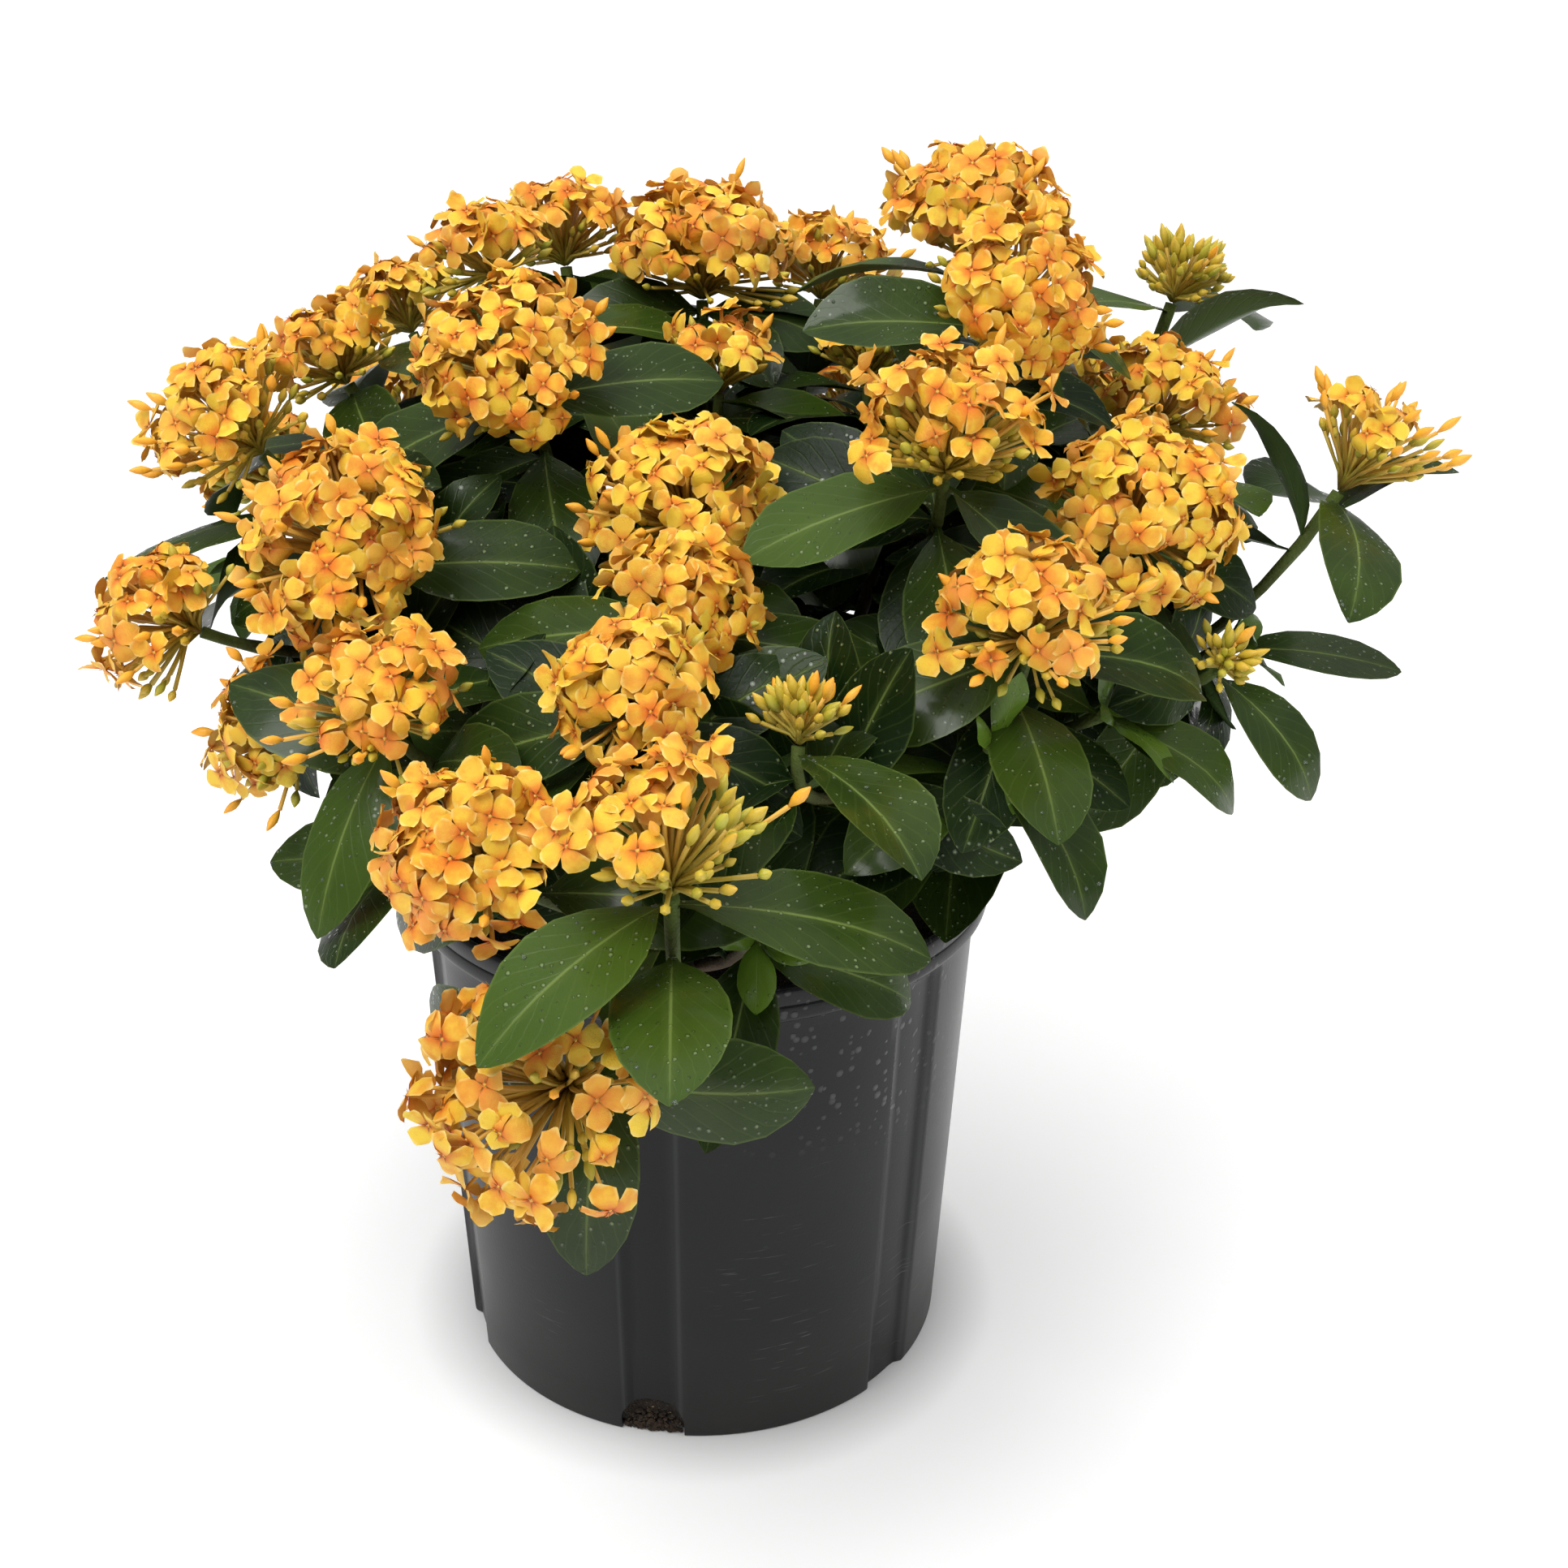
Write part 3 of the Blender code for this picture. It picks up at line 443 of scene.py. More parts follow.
def plantPlan():
    room = [taken(*potRoom(), "pot")]
    stems = [stemPlan(name) for name in stemTable]
    for stem in stems:
        for head in stem["heads"]:
            room.append(taken(*turnedRoom(head), "head"))
        for shoot in stem["shoots"]:
            for low, high in zip(shoot["rings"], shoot["rings"][1:]):
                room.append(taken(*roomOf([low, high], None), stem["name"]))
            shoot["leaves"] = []
    draws = {stem["name"]: random.Random(100 + int(stem["name"])) for stem in stems}
    for pair in range(2):
        for shootNumber in range(3):
            for stem in stems:
                shoot = stem["shoots"][shootNumber]
                segment, side = shoot["pairs"][pair]
                for facing in (side, side + 2):
                    if (stem["name"], shootNumber, segment, facing) in planSettings["fallen"]:
                        continue
                    facet = facetOf(shoot["rings"], segment, facing)
                    top = shoot["flowers"] and pair == 0
                    stations = planSettings["topStations" if top else "lowStations"]
                    size = 1.0 if shoot["flowers"] else planSettings["youngSize"]
                    leaf = leafPlan(facet, draws[stem["name"]], stations, size, stem["name"], room)
                    if leaf:
                        shoot["leaves"].append(leaf)
    return stems


stems = plantPlan()
print("plan made,", sum(len(shoot["leaves"]) for stem in stems for shoot in stem["shoots"]), "leaves")


def addNode(tree, kind, **values):
    node = tree.nodes.new(kind)
    for key, value in values.items():
        if key in node.inputs:
            node.inputs[key].default_value = value
        else:
            setattr(node, key, value)
    return node


def newLook(name, constants):
    look = bpy.data.materials.new(name)
    look.use_nodes = True
    shader = look.node_tree.nodes["Principled BSDF"]
    for key, value in constants.items():
        shader.inputs[key].default_value = value
    return look, look.node_tree, shader


# the helpers below find their node tree by the sockets that they are given
def treeOf(values):
    return next(value.id_data for value in values if isinstance(value, bpy.types.NodeSocket))


def setOrLink(tree, socket, value):
    if isinstance(value, (int, float)):
        socket.default_value = value
    elif isinstance(value, tuple):
        socket.default_value = (*value, 1)
    else:
        tree.links.new(value, socket)


def feed(shader, name, value):
    value.id_data.links.new(value, shader.inputs[name])


def ramp(source, stops):
    node = source.id_data.nodes.new("ShaderNodeValToRGB")
    elements = node.color_ramp.elements
    while len(elements) < len(stops):
        elements.new(0.5)
    for element, (place, colour) in zip(elements, stops):
        element.position = place
        element.color = (*colour, 1)
    source.id_data.links.new(source, node.inputs["Fac"])
    return node.outputs["Color"]


def calc(operation, *values, clamp=False):
    tree = treeOf(values)
    node = tree.nodes.new("ShaderNodeMath")
    node.operation = operation
    node.use_clamp = clamp
    for socket, value in zip(node.inputs, values):
        setOrLink(tree, socket, value)
    return node.outputs[0]


def times(*values, clamp=False):
    return calc("MULTIPLY", *values, clamp=clamp)


def plus(*values, clamp=False):
    return calc("ADD", *values, clamp=clamp)


def minus(*values, clamp=False):
    return calc("SUBTRACT", *values, clamp=clamp)


def blend(amount, first, second):
    tree = treeOf((amount, first, second))
    node = tree.nodes.new("ShaderNodeMix")
    node.data_type = "RGBA"
    for socket, value in zip((node.inputs[0], node.inputs[6], node.inputs[7]), (amount, first, second)):
        setOrLink(tree, socket, value)
    return node.outputs[2]


def spread(source, low, high, newLow, newHigh):
    # maps one stretch of a value on to another, clamped
    node = source.id_data.nodes.new("ShaderNodeMapRange")
    for name, value in (("From Min", low), ("From Max", high), ("To Min", newLow), ("To Max", newHigh)):
        node.inputs[name].default_value = value
    source.id_data.links.new(source, node.inputs["Value"])
    return node.outputs["Result"]


def makeMottle():
    # soft blotches and fine grain, both about 0 to 1
    group = bpy.data.node_groups.new("mottle", "ShaderNodeTree")
    group.interface.new_socket("Vector", in_out="INPUT", socket_type="NodeSocketVector")
    for name, value in (("Blotch Scale", 20.0), ("Grain Scale", 300.0)):
        group.interface.new_socket(name, in_out="INPUT", socket_type="NodeSocketFloat").default_value = value
    for name in ("Blotch", "Grain"):
        group.interface.new_socket(name, in_out="OUTPUT", socket_type="NodeSocketFloat")
    start = group.nodes.new("NodeGroupInput")
    end = group.nodes.new("NodeGroupOutput")
    for name, detail in (("Blotch", 3.0), ("Grain", 2.0)):
        cloud = addNode(group, "ShaderNodeTexNoise", Detail=detail, Roughness=0.55)
        group.links.new(start.outputs["Vector"], cloud.inputs["Vector"])
        group.links.new(start.outputs[name + " Scale"], cloud.inputs["Scale"])
        group.links.new(spread(cloud.outputs["Fac"], 0.3, 0.7, 0.0, 1.0), end.inputs[name])
    return group


def makeBeads():
    # small drops of water that lie on a surface: how much of one there is, as a dome, and a mask
    group = bpy.data.node_groups.new("beads", "ShaderNodeTree")
    group.interface.new_socket("Vector", in_out="INPUT", socket_type="NodeSocketVector")
    for name, value in (("Scale", 300.0), ("Size", 0.3), ("Share", 0.5)):
        group.interface.new_socket(name, in_out="INPUT", socket_type="NodeSocketFloat").default_value = value
    for name in ("Dome", "Mask"):
        group.interface.new_socket(name, in_out="OUTPUT", socket_type="NodeSocketFloat")
    start = group.nodes.new("NodeGroupInput")
    end = group.nodes.new("NodeGroupOutput")
    cells = addNode(group, "ShaderNodeTexVoronoi", Randomness=1.0)
    group.links.new(start.outputs["Vector"], cells.inputs["Vector"])
    group.links.new(start.outputs["Scale"], cells.inputs["Scale"])
    parts = group.nodes.new("ShaderNodeSeparateColor")
    group.links.new(cells.outputs["Color"], parts.inputs["Color"])
    there = calc("LESS_THAN", parts.outputs[0], start.outputs["Share"])
    size = times(start.outputs["Size"], calc("MULTIPLY_ADD", parts.outputs[1], 0.8, 0.4))
    inside = minus(1.0, calc("DIVIDE", cells.outputs["Distance"], size), clamp=True)
    dome = times(calc("POWER", inside, 0.5), there)
    group.links.new(dome, end.inputs["Dome"])
    group.links.new(calc("GREATER_THAN", dome, 0.25), end.inputs["Mask"])
    return group


mottle = makeMottle()
beads = makeBeads()


def placeGroup(group, vector, **values):
    node = vector.id_data.nodes.new("ShaderNodeGroup")
    node.node_tree = group
    vector.id_data.links.new(vector, node.inputs["Vector"])
    for key, value in values.items():
        node.inputs[key.replace("_", " ")].default_value = value
    return node.outputs


def surfaceInputs(tree):
    # object coordinates, the two UV values, and the three values of the tone attribute
    coords = tree.nodes.new("ShaderNodeTexCoord")
    uv = tree.nodes.new("ShaderNodeSeparateXYZ")
    tree.links.new(coords.outputs["UV"], uv.inputs[0])
    tone = tree.nodes.new("ShaderNodeAttribute")
    tone.attribute_name = "tone"
    parts = tree.nodes.new("ShaderNodeSeparateColor")
    tree.links.new(tone.outputs["Color"], parts.inputs["Color"])
    return coords.outputs["Object"], uv.outputs[0], uv.outputs[1], parts.outputs


def bumpInto(shader, height, strength, distance):
    bump = addNode(height.id_data, "ShaderNodeBump", Strength=strength, Distance=distance)
    height.id_data.links.new(height, bump.inputs["Height"])
    feed(shader, "Normal", bump.outputs["Normal"])


leafLookSettings = {
    "dark": (0.0055, 0.0150, 0.0024),
    "mid": (0.031, 0.058, 0.0062),
    "young": (0.13, 0.24, 0.020),
    "under": (0.055, 0.098, 0.022),
    "rib": (0.21, 0.29, 0.070),
    "drop": (0.20, 0.27, 0.11),
    "dropRimShade": (0.006, 0.014, 0.004),
    "veins": 9.0,
    "beads": {"Scale": 330.0, "Size": 0.31, "Share": 0.80},
    "wax": 0.26,
    "wetCoat": 0.6,
}


def makeLeafLook():
    s = leafLookSettings
    look, tree, shader = newLook("glossy_leaf", {"Metallic": 0.0, "Specular IOR Level": 0.15,
                                                 "Coat Roughness": 0.16})
    where, across, lengthwise, tone = surfaceInputs(tree)
    cloud = placeGroup(mottle, where, Blotch_Scale=30.0, Grain_Scale=520.0)
    off = calc("ABSOLUTE", minus(across, 0.5))
    rib = times(spread(off, 0.006, 0.020, 1.0, 0.0), spread(lengthwise, 0.55, 1.0, 1.0, 0.25))
    ribHalo = spread(off, 0.0, 0.09, 1.0, 0.0)
    marginHighlight = spread(off, 0.470, 0.495, 0.0, 1.0)
    # side veins leave the midrib at a slant and curve towards the tip
    slant = minus(lengthwise, times(calc("POWER", off, 0.8), 0.62))
    wave = calc("FRACT", times(slant, s["veins"]))
    vein = spread(calc("ABSOLUTE", minus(wave, 0.5)), 0.0, 0.10, 1.0, 0.0)
    # a low shade value paints a leaf dark green. The inner leaves carry one, as painted shade for the inside
    # of the shrub; for the other leaves it varies at random
    shadeShare = plus(times(cloud["Blotch"], 0.55), times(tone[0], 0.55), clamp=True)
    colour = blend(shadeShare, s["dark"], s["mid"])
    colour = blend(times(tone[2], 0.85), colour, s["young"])
    colour = blend(times(vein, 0.055), colour, s["rib"])
    colour = blend(times(ribHalo, 0.10), colour, s["rib"])
    colour = blend(times(rib, 0.50), colour, s["rib"])
    # a pale line along the edge of each leaf: a painted highlight
    colour = blend(times(marginHighlight, 0.20), colour, s["rib"])
    colour = blend(times(tone[1], 0.80), colour, s["under"])
    drops = placeGroup(beads, where, **s["beads"])
    upper = minus(1.0, tone[1])
    wet = times(upper, spread(cloud["Blotch"], 0.25, 0.40, 0.0, 1.0))
    dropMask = times(drops["Mask"], wet)
    dropDome = times(drops["Dome"], wet)
    # each drop is painted with a dark rim, painted shade, and a paler middle, a painted highlight
    dropRimShadeMask = times(dropMask, spread(drops["Dome"], 0.3, 0.6, 1.0, 0.0))
    colour = blend(times(dropRimShadeMask, 0.5), colour, s["dropRimShade"])
    colour = blend(times(spread(dropDome, 0.55, 0.85, 0.0, 1.0), 0.70), colour, s["drop"])
    feed(shader, "Base Color", colour)
    dry = plus(spread(cloud["Blotch"], 0.0, 1.0, 0.42, 0.32), times(tone[1], 0.3))
    rough = minus(dry, times(dropMask, 0.28), clamp=True)
    feed(shader, "Roughness", rough)
    # the wax of the leaves that stand in the light, and the drops on them
    wax = times(upper, spread(tone[0], 0.1, 0.6, 0.0, s["wax"]))
    feed(shader, "Coat Weight", calc("MAXIMUM", wax, times(dropMask, s["wetCoat"])))
    height = plus(times(dropDome, 1.0), times(vein, -0.16))
    height = plus(height, times(rib, -0.4))
    height = plus(height, times(cloud["Grain"], 0.12))
    bumpInto(shader, height, 0.55, 0.0009)
    return look


petalLookSettings = {
    "throat": (0.66, 0.085, 0.005),
    "inner": (0.83, 0.200, 0.010),
    "blade": (0.90, 0.410, 0.024),
    "rim": (1.0, 0.780, 0.260),
    "golden": (0.97, 0.680, 0.050),
    "peach": (0.90, 0.330, 0.050),
    "back": (1.0, 0.600, 0.160),
}


def makePetalLook():
    s = petalLookSettings
    look, tree, shader = newLook("ixora_petal", {"Metallic": 0.0})
    where, across, lengthwise, tone = surfaceInputs(tree)
    cloud = placeGroup(mottle, where, Blotch_Scale=150.0, Grain_Scale=1400.0)
    off = calc("ABSOLUTE", minus(across, 0.5))
    outwards = plus(lengthwise, times(cloud["Blotch"], 0.06))
    stops = ((0.0, "throat"), (0.17, "inner"), (0.55, "blade"), (0.92, "blade"), (1.0, "rim"))
    colour = ramp(outwards, [(share, s[name]) for share, name in stops])
    gold = times(spread(tone[0], 0.25, 0.9, 0.0, 0.95), spread(lengthwise, 0.05, 0.4, 0.1, 1.0))
    colour = blend(gold, colour, s["golden"])
    patchy = times(spread(cloud["Blotch"], 0.45, 0.95, 0.0, 0.75), spread(lengthwise, 0.1, 0.5, 0.0, 1.0))
    colour = blend(patchy, colour, s["golden"])
    colour = blend(spread(cloud["Blotch"], 0.45, 0.05, 0.0, 0.5), colour, s["inner"])
    colour = blend(times(tone[2], 0.75), colour, s["peach"])
    # a paler rim along the sides and the tip of each petal: a painted highlight
    edge = calc("MAXIMUM", spread(off, 0.36, 0.5, 0.0, 1.0), spread(lengthwise, 0.84, 1.0, 0.0, 1.0))
    colour = blend(times(edge, 0.70), colour, s["rim"])
    # the underside of each petal is painted paler: painted light, standing in for light that shines through
    # the thin petal
    colour = blend(times(tone[1], 0.65), colour, s["back"])
    feed(shader, "Base Color", colour)
    feed(shader, "Roughness", spread(cloud["Grain"], 0.0, 1.0, 0.38, 0.56))
    streak = addNode(tree, "ShaderNodeTexNoise", Scale=9.0, Detail=2.0)
    stretch = addNode(tree, "ShaderNodeMapping")
    stretch.inputs["Scale"].default_value = (9.0, 1.2, 1.0)
    coords = tree.nodes.new("ShaderNodeTexCoord")
    tree.links.new(coords.outputs["UV"], stretch.inputs["Vector"])
    tree.links.new(stretch.outputs[0], streak.inputs["Vector"])
    bumpInto(shader, plus(streak.outputs["Fac"], times(cloud["Grain"], 0.2)), 0.55, 0.0010)
    return look


strandLookSettings = {
    "tube": ((0.0, (0.110, 0.058, 0.014)), (0.10, (0.27, 0.165, 0.026)), (0.35, (0.50, 0.33, 0.042)),
             (1.0, (0.80, 0.43, 0.050))),
    "green": (0.29, 0.30, 0.030),
    "amber": (0.70, 0.42, 0.10),
}


def makeStrandLook():
    # tubes, cyme branches and stamens: dark red-brown at the foot, amber at the mouth
    s = strandLookSettings
    look, tree, shader = newLook("flower_tube", {"Metallic": 0.0})
    where, _, lengthwise, tone = surfaceInputs(tree)
    cloud = placeGroup(mottle, where, Blotch_Scale=120.0, Grain_Scale=900.0)
    colour = ramp(lengthwise, s["tube"])
    colour = blend(times(tone[2], 0.8), colour, s["green"])
    colour = blend(times(cloud["Blotch"], 0.25), colour, s["amber"])
    feed(shader, "Base Color", colour)
    feed(shader, "Roughness", spread(cloud["Grain"], 0.0, 1.0, 0.42, 0.58))
    bumpInto(shader, cloud["Grain"], 0.2, 0.0004)
    return look


budLookSettings = {
    "ripe": ((0.0, (0.60, 0.27, 0.026)), (0.4, (0.92, 0.46, 0.030)), (1.0, (0.94, 0.37, 0.022))),
    "green": ((0.0, (0.16, 0.21, 0.016)), (0.5, (0.34, 0.38, 0.028)), (1.0, (0.50, 0.45, 0.040))),
    "pale": (1.0, 0.60, 0.16),
}


def makeBudLook():
    s = budLookSettings
    look, tree, shader = newLook("ixora_bud", {"Metallic": 0.0})
    where, _, lengthwise, tone = surfaceInputs(tree)
    cloud = placeGroup(mottle, where, Blotch_Scale=140.0, Grain_Scale=900.0)
    colour = blend(tone[2], ramp(lengthwise, s["ripe"]), ramp(lengthwise, s["green"]))
    colour = blend(times(cloud["Blotch"], 0.15), colour, s["pale"])
    feed(shader, "Base Color", colour)
    feed(shader, "Roughness", spread(cloud["Grain"], 0.0, 1.0, 0.38, 0.55))
    bumpInto(shader, cloud["Grain"], 0.2, 0.0004)
    return look


barkLookSettings = {
    "wood": ((0.0, (0.060, 0.036, 0.021)), (0.55, (0.052, 0.040, 0.018)), (1.0, (0.080, 0.120, 0.020))),
    "crack": (0.020, 0.013, 0.009),
}


def makeBarkLook():
    s = barkLookSettings
    look, tree, shader = newLook("ixora_bark", {"Metallic": 0.0, "Specular IOR Level": 0.2})
    where, _, lengthwise, _ = surfaceInputs(tree)
    cloud = placeGroup(mottle, where, Blotch_Scale=60.0, Grain_Scale=700.0)
    colour = blend(times(cloud["Blotch"], 0.4), ramp(lengthwise, s["wood"]), s["crack"])
    feed(shader, "Base Color", colour)
    feed(shader, "Roughness", spread(cloud["Blotch"], 0.0, 1.0, 0.55, 0.8))
    bumpInto(shader, plus(cloud["Grain"], cloud["Blotch"]), 0.5, 0.0008)
    return look


potLookSettings = {
    "black": (0.0080, 0.0083, 0.0088),
    "grey": (0.0120, 0.0123, 0.0128),
    "dust": (0.040, 0.036, 0.031),
    "shade": (0.0035, 0.0036, 0.0040),
    "fluteEdgeHighlight": (0.034, 0.035, 0.037),
    "scuff": (0.10, 0.10, 0.10),
    "wet": (0.006, 0.006, 0.007),
    "beads": {"Scale": 240.0, "Size": 0.42, "Share": 0.55},
}


def makePotLook():
    s = potLookSettings
    look, tree, shader = newLook("black_plastic", {"Metallic": 0.0, "Specular IOR Level": 0.22,
                                                   "Coat Roughness": 0.10})
    where, _, _, _ = surfaceInputs(tree)
    cloud = placeGroup(mottle, where, Blotch_Scale=9.0, Grain_Scale=900.0)
    place = tree.nodes.new("ShaderNodeSeparateXYZ")
    tree.links.new(where, place.inputs[0])
    # a wet stretch under the leaves at the front right, and dust towards the foot
    wetSide = times(spread(place.outputs[0], -0.01, 0.035, 0.0, 1.0),
                    spread(place.outputs[0], 0.085, 0.115, 1.0, 0.0))
    wetHeight = plus(place.outputs[2], times(cloud["Blotch"], -0.03))
    wet = times(times(wetSide, spread(wetHeight, 0.135, 0.165, 0.0, 1.0)),
                spread(place.outputs[1], -0.03, -0.06, 0.0, 1.0))
    drops = placeGroup(beads, where, **s["beads"])
    wetDrops = times(drops["Dome"], wet)
    dust = times(spread(place.outputs[2], 0.0, 0.07, 0.5, 0.0), cloud["Blotch"])
    scratchPlace = addNode(tree, "ShaderNodeMapping")
    scratchPlace.inputs["Scale"].default_value = (60.0, 60.0, 900.0)
    scratchPlace.inputs["Rotation"].default_value = (0.35, 0.2, 0.0)
    tree.links.new(where, scratchPlace.inputs["Vector"])
    lines = addNode(tree, "ShaderNodeTexNoise", Scale=1.0, Detail=1.0)
    tree.links.new(scratchPlace.outputs[0], lines.inputs["Vector"])
    scuffs = times(spread(lines.outputs["Fac"], 0.66, 0.72, 0.0, 1.0),
                   spread(cloud["Blotch"], 0.62, 0.85, 0.0, 1.0))
    colour = blend(cloud["Blotch"], s["black"], s["grey"])
    colour = blend(dust, colour, s["dust"])
    # the edges of the flutes are painted paler, a painted highlight, and the flutes are painted darker,
    # painted shade
    pitch = 2 * math.pi / potSettings["flutes"]
    angle = minus(calc("ARCTAN2", place.outputs[1], place.outputs[0]), potSettings["fluteTurn"])
    turns = calc("FRACT", plus(calc("DIVIDE", angle, pitch), 10.5))
    fluteOff = times(calc("ABSOLUTE", minus(turns, 0.5)), pitch)
    halfArc = potSettings["fluteArc"] / 2
    wall = spread(place.outputs[2], 0.226, 0.232, 1.0, 0.0)
    fluteEdgeHighlight = spread(calc("ABSOLUTE", minus(fluteOff, halfArc)), 0.003, 0.013, 1.0, 0.0)
    fluteEdgeHighlight = times(times(fluteEdgeHighlight, wall), spread(cloud["Blotch"], 0.0, 1.0, 0.35, 0.8))
    shaded = times(spread(fluteOff, halfArc * 0.80, halfArc * 0.95, 0.6, 0.0), wall)
    colour = blend(shaded, colour, s["shade"])
    colour = blend(fluteEdgeHighlight, colour, s["fluteEdgeHighlight"])
    colour = blend(times(scuffs, 0.5), colour, s["scuff"])
    colour = blend(times(wet, 0.6), colour, s["wet"])
    feed(shader, "Base Color", colour)
    rough = plus(spread(cloud["Blotch"], 0.0, 1.0, 0.25, 0.35), times(dust, 0.35))
    rough = minus(rough, times(wet, 0.12))
    feed(shader, "Roughness", rough)
    feed(shader, "Coat Weight", times(wetDrops, 0.8, clamp=True))
    height = plus(times(wetDrops, 1.0), times(cloud["Grain"], 0.05))
    height = minus(height, times(scuffs, 0.1))
    bumpInto(shader, height, 0.45, 0.0009)
    return look


soilLookSettings = {
    "dark": (0.008, 0.005, 0.003),
    "brown": (0.034, 0.021, 0.012),
    "fleck": (0.12, 0.085, 0.05),
    "bark": (0.15, 0.085, 0.045),
    "pale": (0.62, 0.58, 0.50),
}


def makeSoilLook():
    s = soilLookSettings
    look, tree, shader = newLook("potting_mix", {"Metallic": 0.0})
    where, _, _, tone = surfaceInputs(tree)
    cloud = placeGroup(mottle, where, Blotch_Scale=90.0, Grain_Scale=900.0)
    colour = blend(cloud["Blotch"], s["dark"], s["brown"])
    colour = blend(times(spread(cloud["Grain"], 0.7, 1.0, 0.0, 1.0), 0.5), colour, s["fleck"])
    colour = blend(tone[0], colour, s["bark"])
    colour = blend(tone[2], colour, s["pale"])
    feed(shader, "Base Color", colour)
    feed(shader, "Roughness", spread(cloud["Blotch"], 0.0, 1.0, 0.75, 0.97))
    bumpInto(shader, plus(cloud["Grain"], cloud["Blotch"]), 0.8, 0.002)
    return look


rootLookSettings = {"brown": (0.30, 0.21, 0.11), "pale": (0.50, 0.42, 0.28)}


def makeRootLook():
    s = rootLookSettings
    look, tree, shader = newLook("pale_root", {"Metallic": 0.0})
    where, _, _, _ = surfaceInputs(tree)
    cloud = placeGroup(mottle, where, Blotch_Scale=200.0, Grain_Scale=900.0)
    feed(shader, "Base Color", blend(cloud["Blotch"], s["brown"], s["pale"]))
    feed(shader, "Roughness", spread(cloud["Grain"], 0.0, 1.0, 0.6, 0.8))
    bumpInto(shader, cloud["Grain"], 0.3, 0.0005)
    return look


waterLookSettings = {"deep": (0.40, 0.50, 0.36), "light": (0.58, 0.66, 0.54)}


def makeWaterLook():
    s = waterLookSettings
    look, tree, shader = newLook("water_drop", {"Metallic": 0.0, "IOR": 1.33, "Transmission Weight": 0.85})
    where, _, _, _ = surfaceInputs(tree)
    cloud = placeGroup(mottle, where, Blotch_Scale=300.0, Grain_Scale=900.0)
    feed(shader, "Base Color", blend(cloud["Blotch"], s["deep"], s["light"]))
    feed(shader, "Roughness", spread(cloud["Grain"], 0.0, 1.0, 0.03, 0.08))
    return look


leafLook = makeLeafLook()
petalLook = makePetalLook()
strandLook = makeStrandLook()
budLook = makeBudLook()
barkLook = makeBarkLook()
potLook = makePotLook()
soilLook = makeSoilLook()
rootLook = makeRootLook()
waterLook = makeWaterLook()
print("materials made")


def selectNone():
    if bpy.context.object and bpy.context.object.mode != "OBJECT":
        bpy.ops.object.mode_set(mode="OBJECT")
    bpy.ops.object.select_all(action="DESELECT")


def editAll(obj):
    bpy.context.view_layer.objects.active = obj
    obj.select_set(True)
    bpy.ops.object.mode_set(mode="EDIT")
    bpy.ops.mesh.select_all(action="SELECT")


def shapeOf(obj, look=0):
    # reads a modelled shape into arrays, so that copies can be placed and bent quickly
    mesh = obj.data
    places = np.empty(len(mesh.vertices) * 3)
    mesh.vertices.foreach_get("co", places)
    places = places.reshape(-1, 3)
    loops = np.empty(len(mesh.loops), dtype=np.int64)
    mesh.loops.foreach_get("vertex_index", loops)
    sizes = np.empty(len(mesh.polygons), dtype=np.int64)
    mesh.polygons.foreach_get("loop_total", sizes)
    shape = {"co": places, "loops": loops, "sizes": sizes, "looks": np.full(len(sizes), look),
             "uv": np.zeros((len(loops), 2)), "side": np.zeros(len(places))}
    bpy.data.objects.remove(obj, do_unlink=True)
    return shape


def sheetShape(name, outline, across, depth):
    # a thin blade closed all round: a grid drawn in to its outline, with an underside that shares its edge.
    # x runs from -1 to 1 in widths, y from 0 to 1 along it.
    selectNone()
    rows = len(outline) - 1
    bpy.ops.mesh.primitive_grid_add(x_subdivisions=across, y_subdivisions=rows, size=2, location=(0, 0, 0))
    sheet = bpy.context.object
    sheet.name = name
    editAll(sheet)
    bpy.ops.transform.resize(value=(1, 0.5, 1), center_override=(0, -1, 0))
    bpy.ops.transform.translate(value=(0, 1, 0))
    bpy.ops.mesh.duplicate_move(TRANSFORM_OT_translate={"value": (0, 0, -0.001)})
    bpy.ops.mesh.flip_normals()
    bpy.ops.object.mode_set(mode="OBJECT")
    for vert in sheet.data.vertices:
        row = round(vert.co.y * rows)
        lower = vert.co.z < -0.0005
        edge = abs(vert.co.x) > 0.99 or row in (0, rows)
        vert.co.z = 0 if edge or not lower else -depth
        pull = outline[row][2] if len(outline[row]) > 2 else 0.0
        vert.co.y = outline[row][0] - pull * abs(vert.co.x) ** 2
        vert.co.x *= outline[row][1]
    editAll(sheet)
    bpy.ops.mesh.remove_doubles(threshold=0.00001)
    bpy.ops.object.mode_set(mode="OBJECT")
    return sheet


# outlines give the half width, and for a petal how far its sides pull back, at shares of the length
leafShapeSettings = {
    "outline": ((0.0, 0.075), (0.06, 0.12), (0.14, 0.42), (0.25, 0.74), (0.38, 0.93), (0.51, 1.0),
                (0.65, 0.98), (0.78, 0.81), (0.89, 0.53), (0.965, 0.23), (1.0, 0.02)),
    "across": 4,
    "depth": 0.55 * mm,
}


def makeLeafShape():
    s = leafShapeSettings
    sheet = sheetShape("leaf", s["outline"], s["across"], s["depth"])
    widths = sorted(s["outline"])
    shape = shapeOf(sheet)
    x, y, z = shape["co"].T
    half = np.interp(y, [w[0] for w in widths], [w[1] for w in widths])
    across = np.where(half > 0, x / np.maximum(half, 1e-6), 0)
    shape["across"] = across
    shape["side"] = (z < -1e-5).astype(float)
    shape["uv"] = np.stack((across * 0.5 + 0.5, y), axis=1)[shape["loops"]]
    return shape


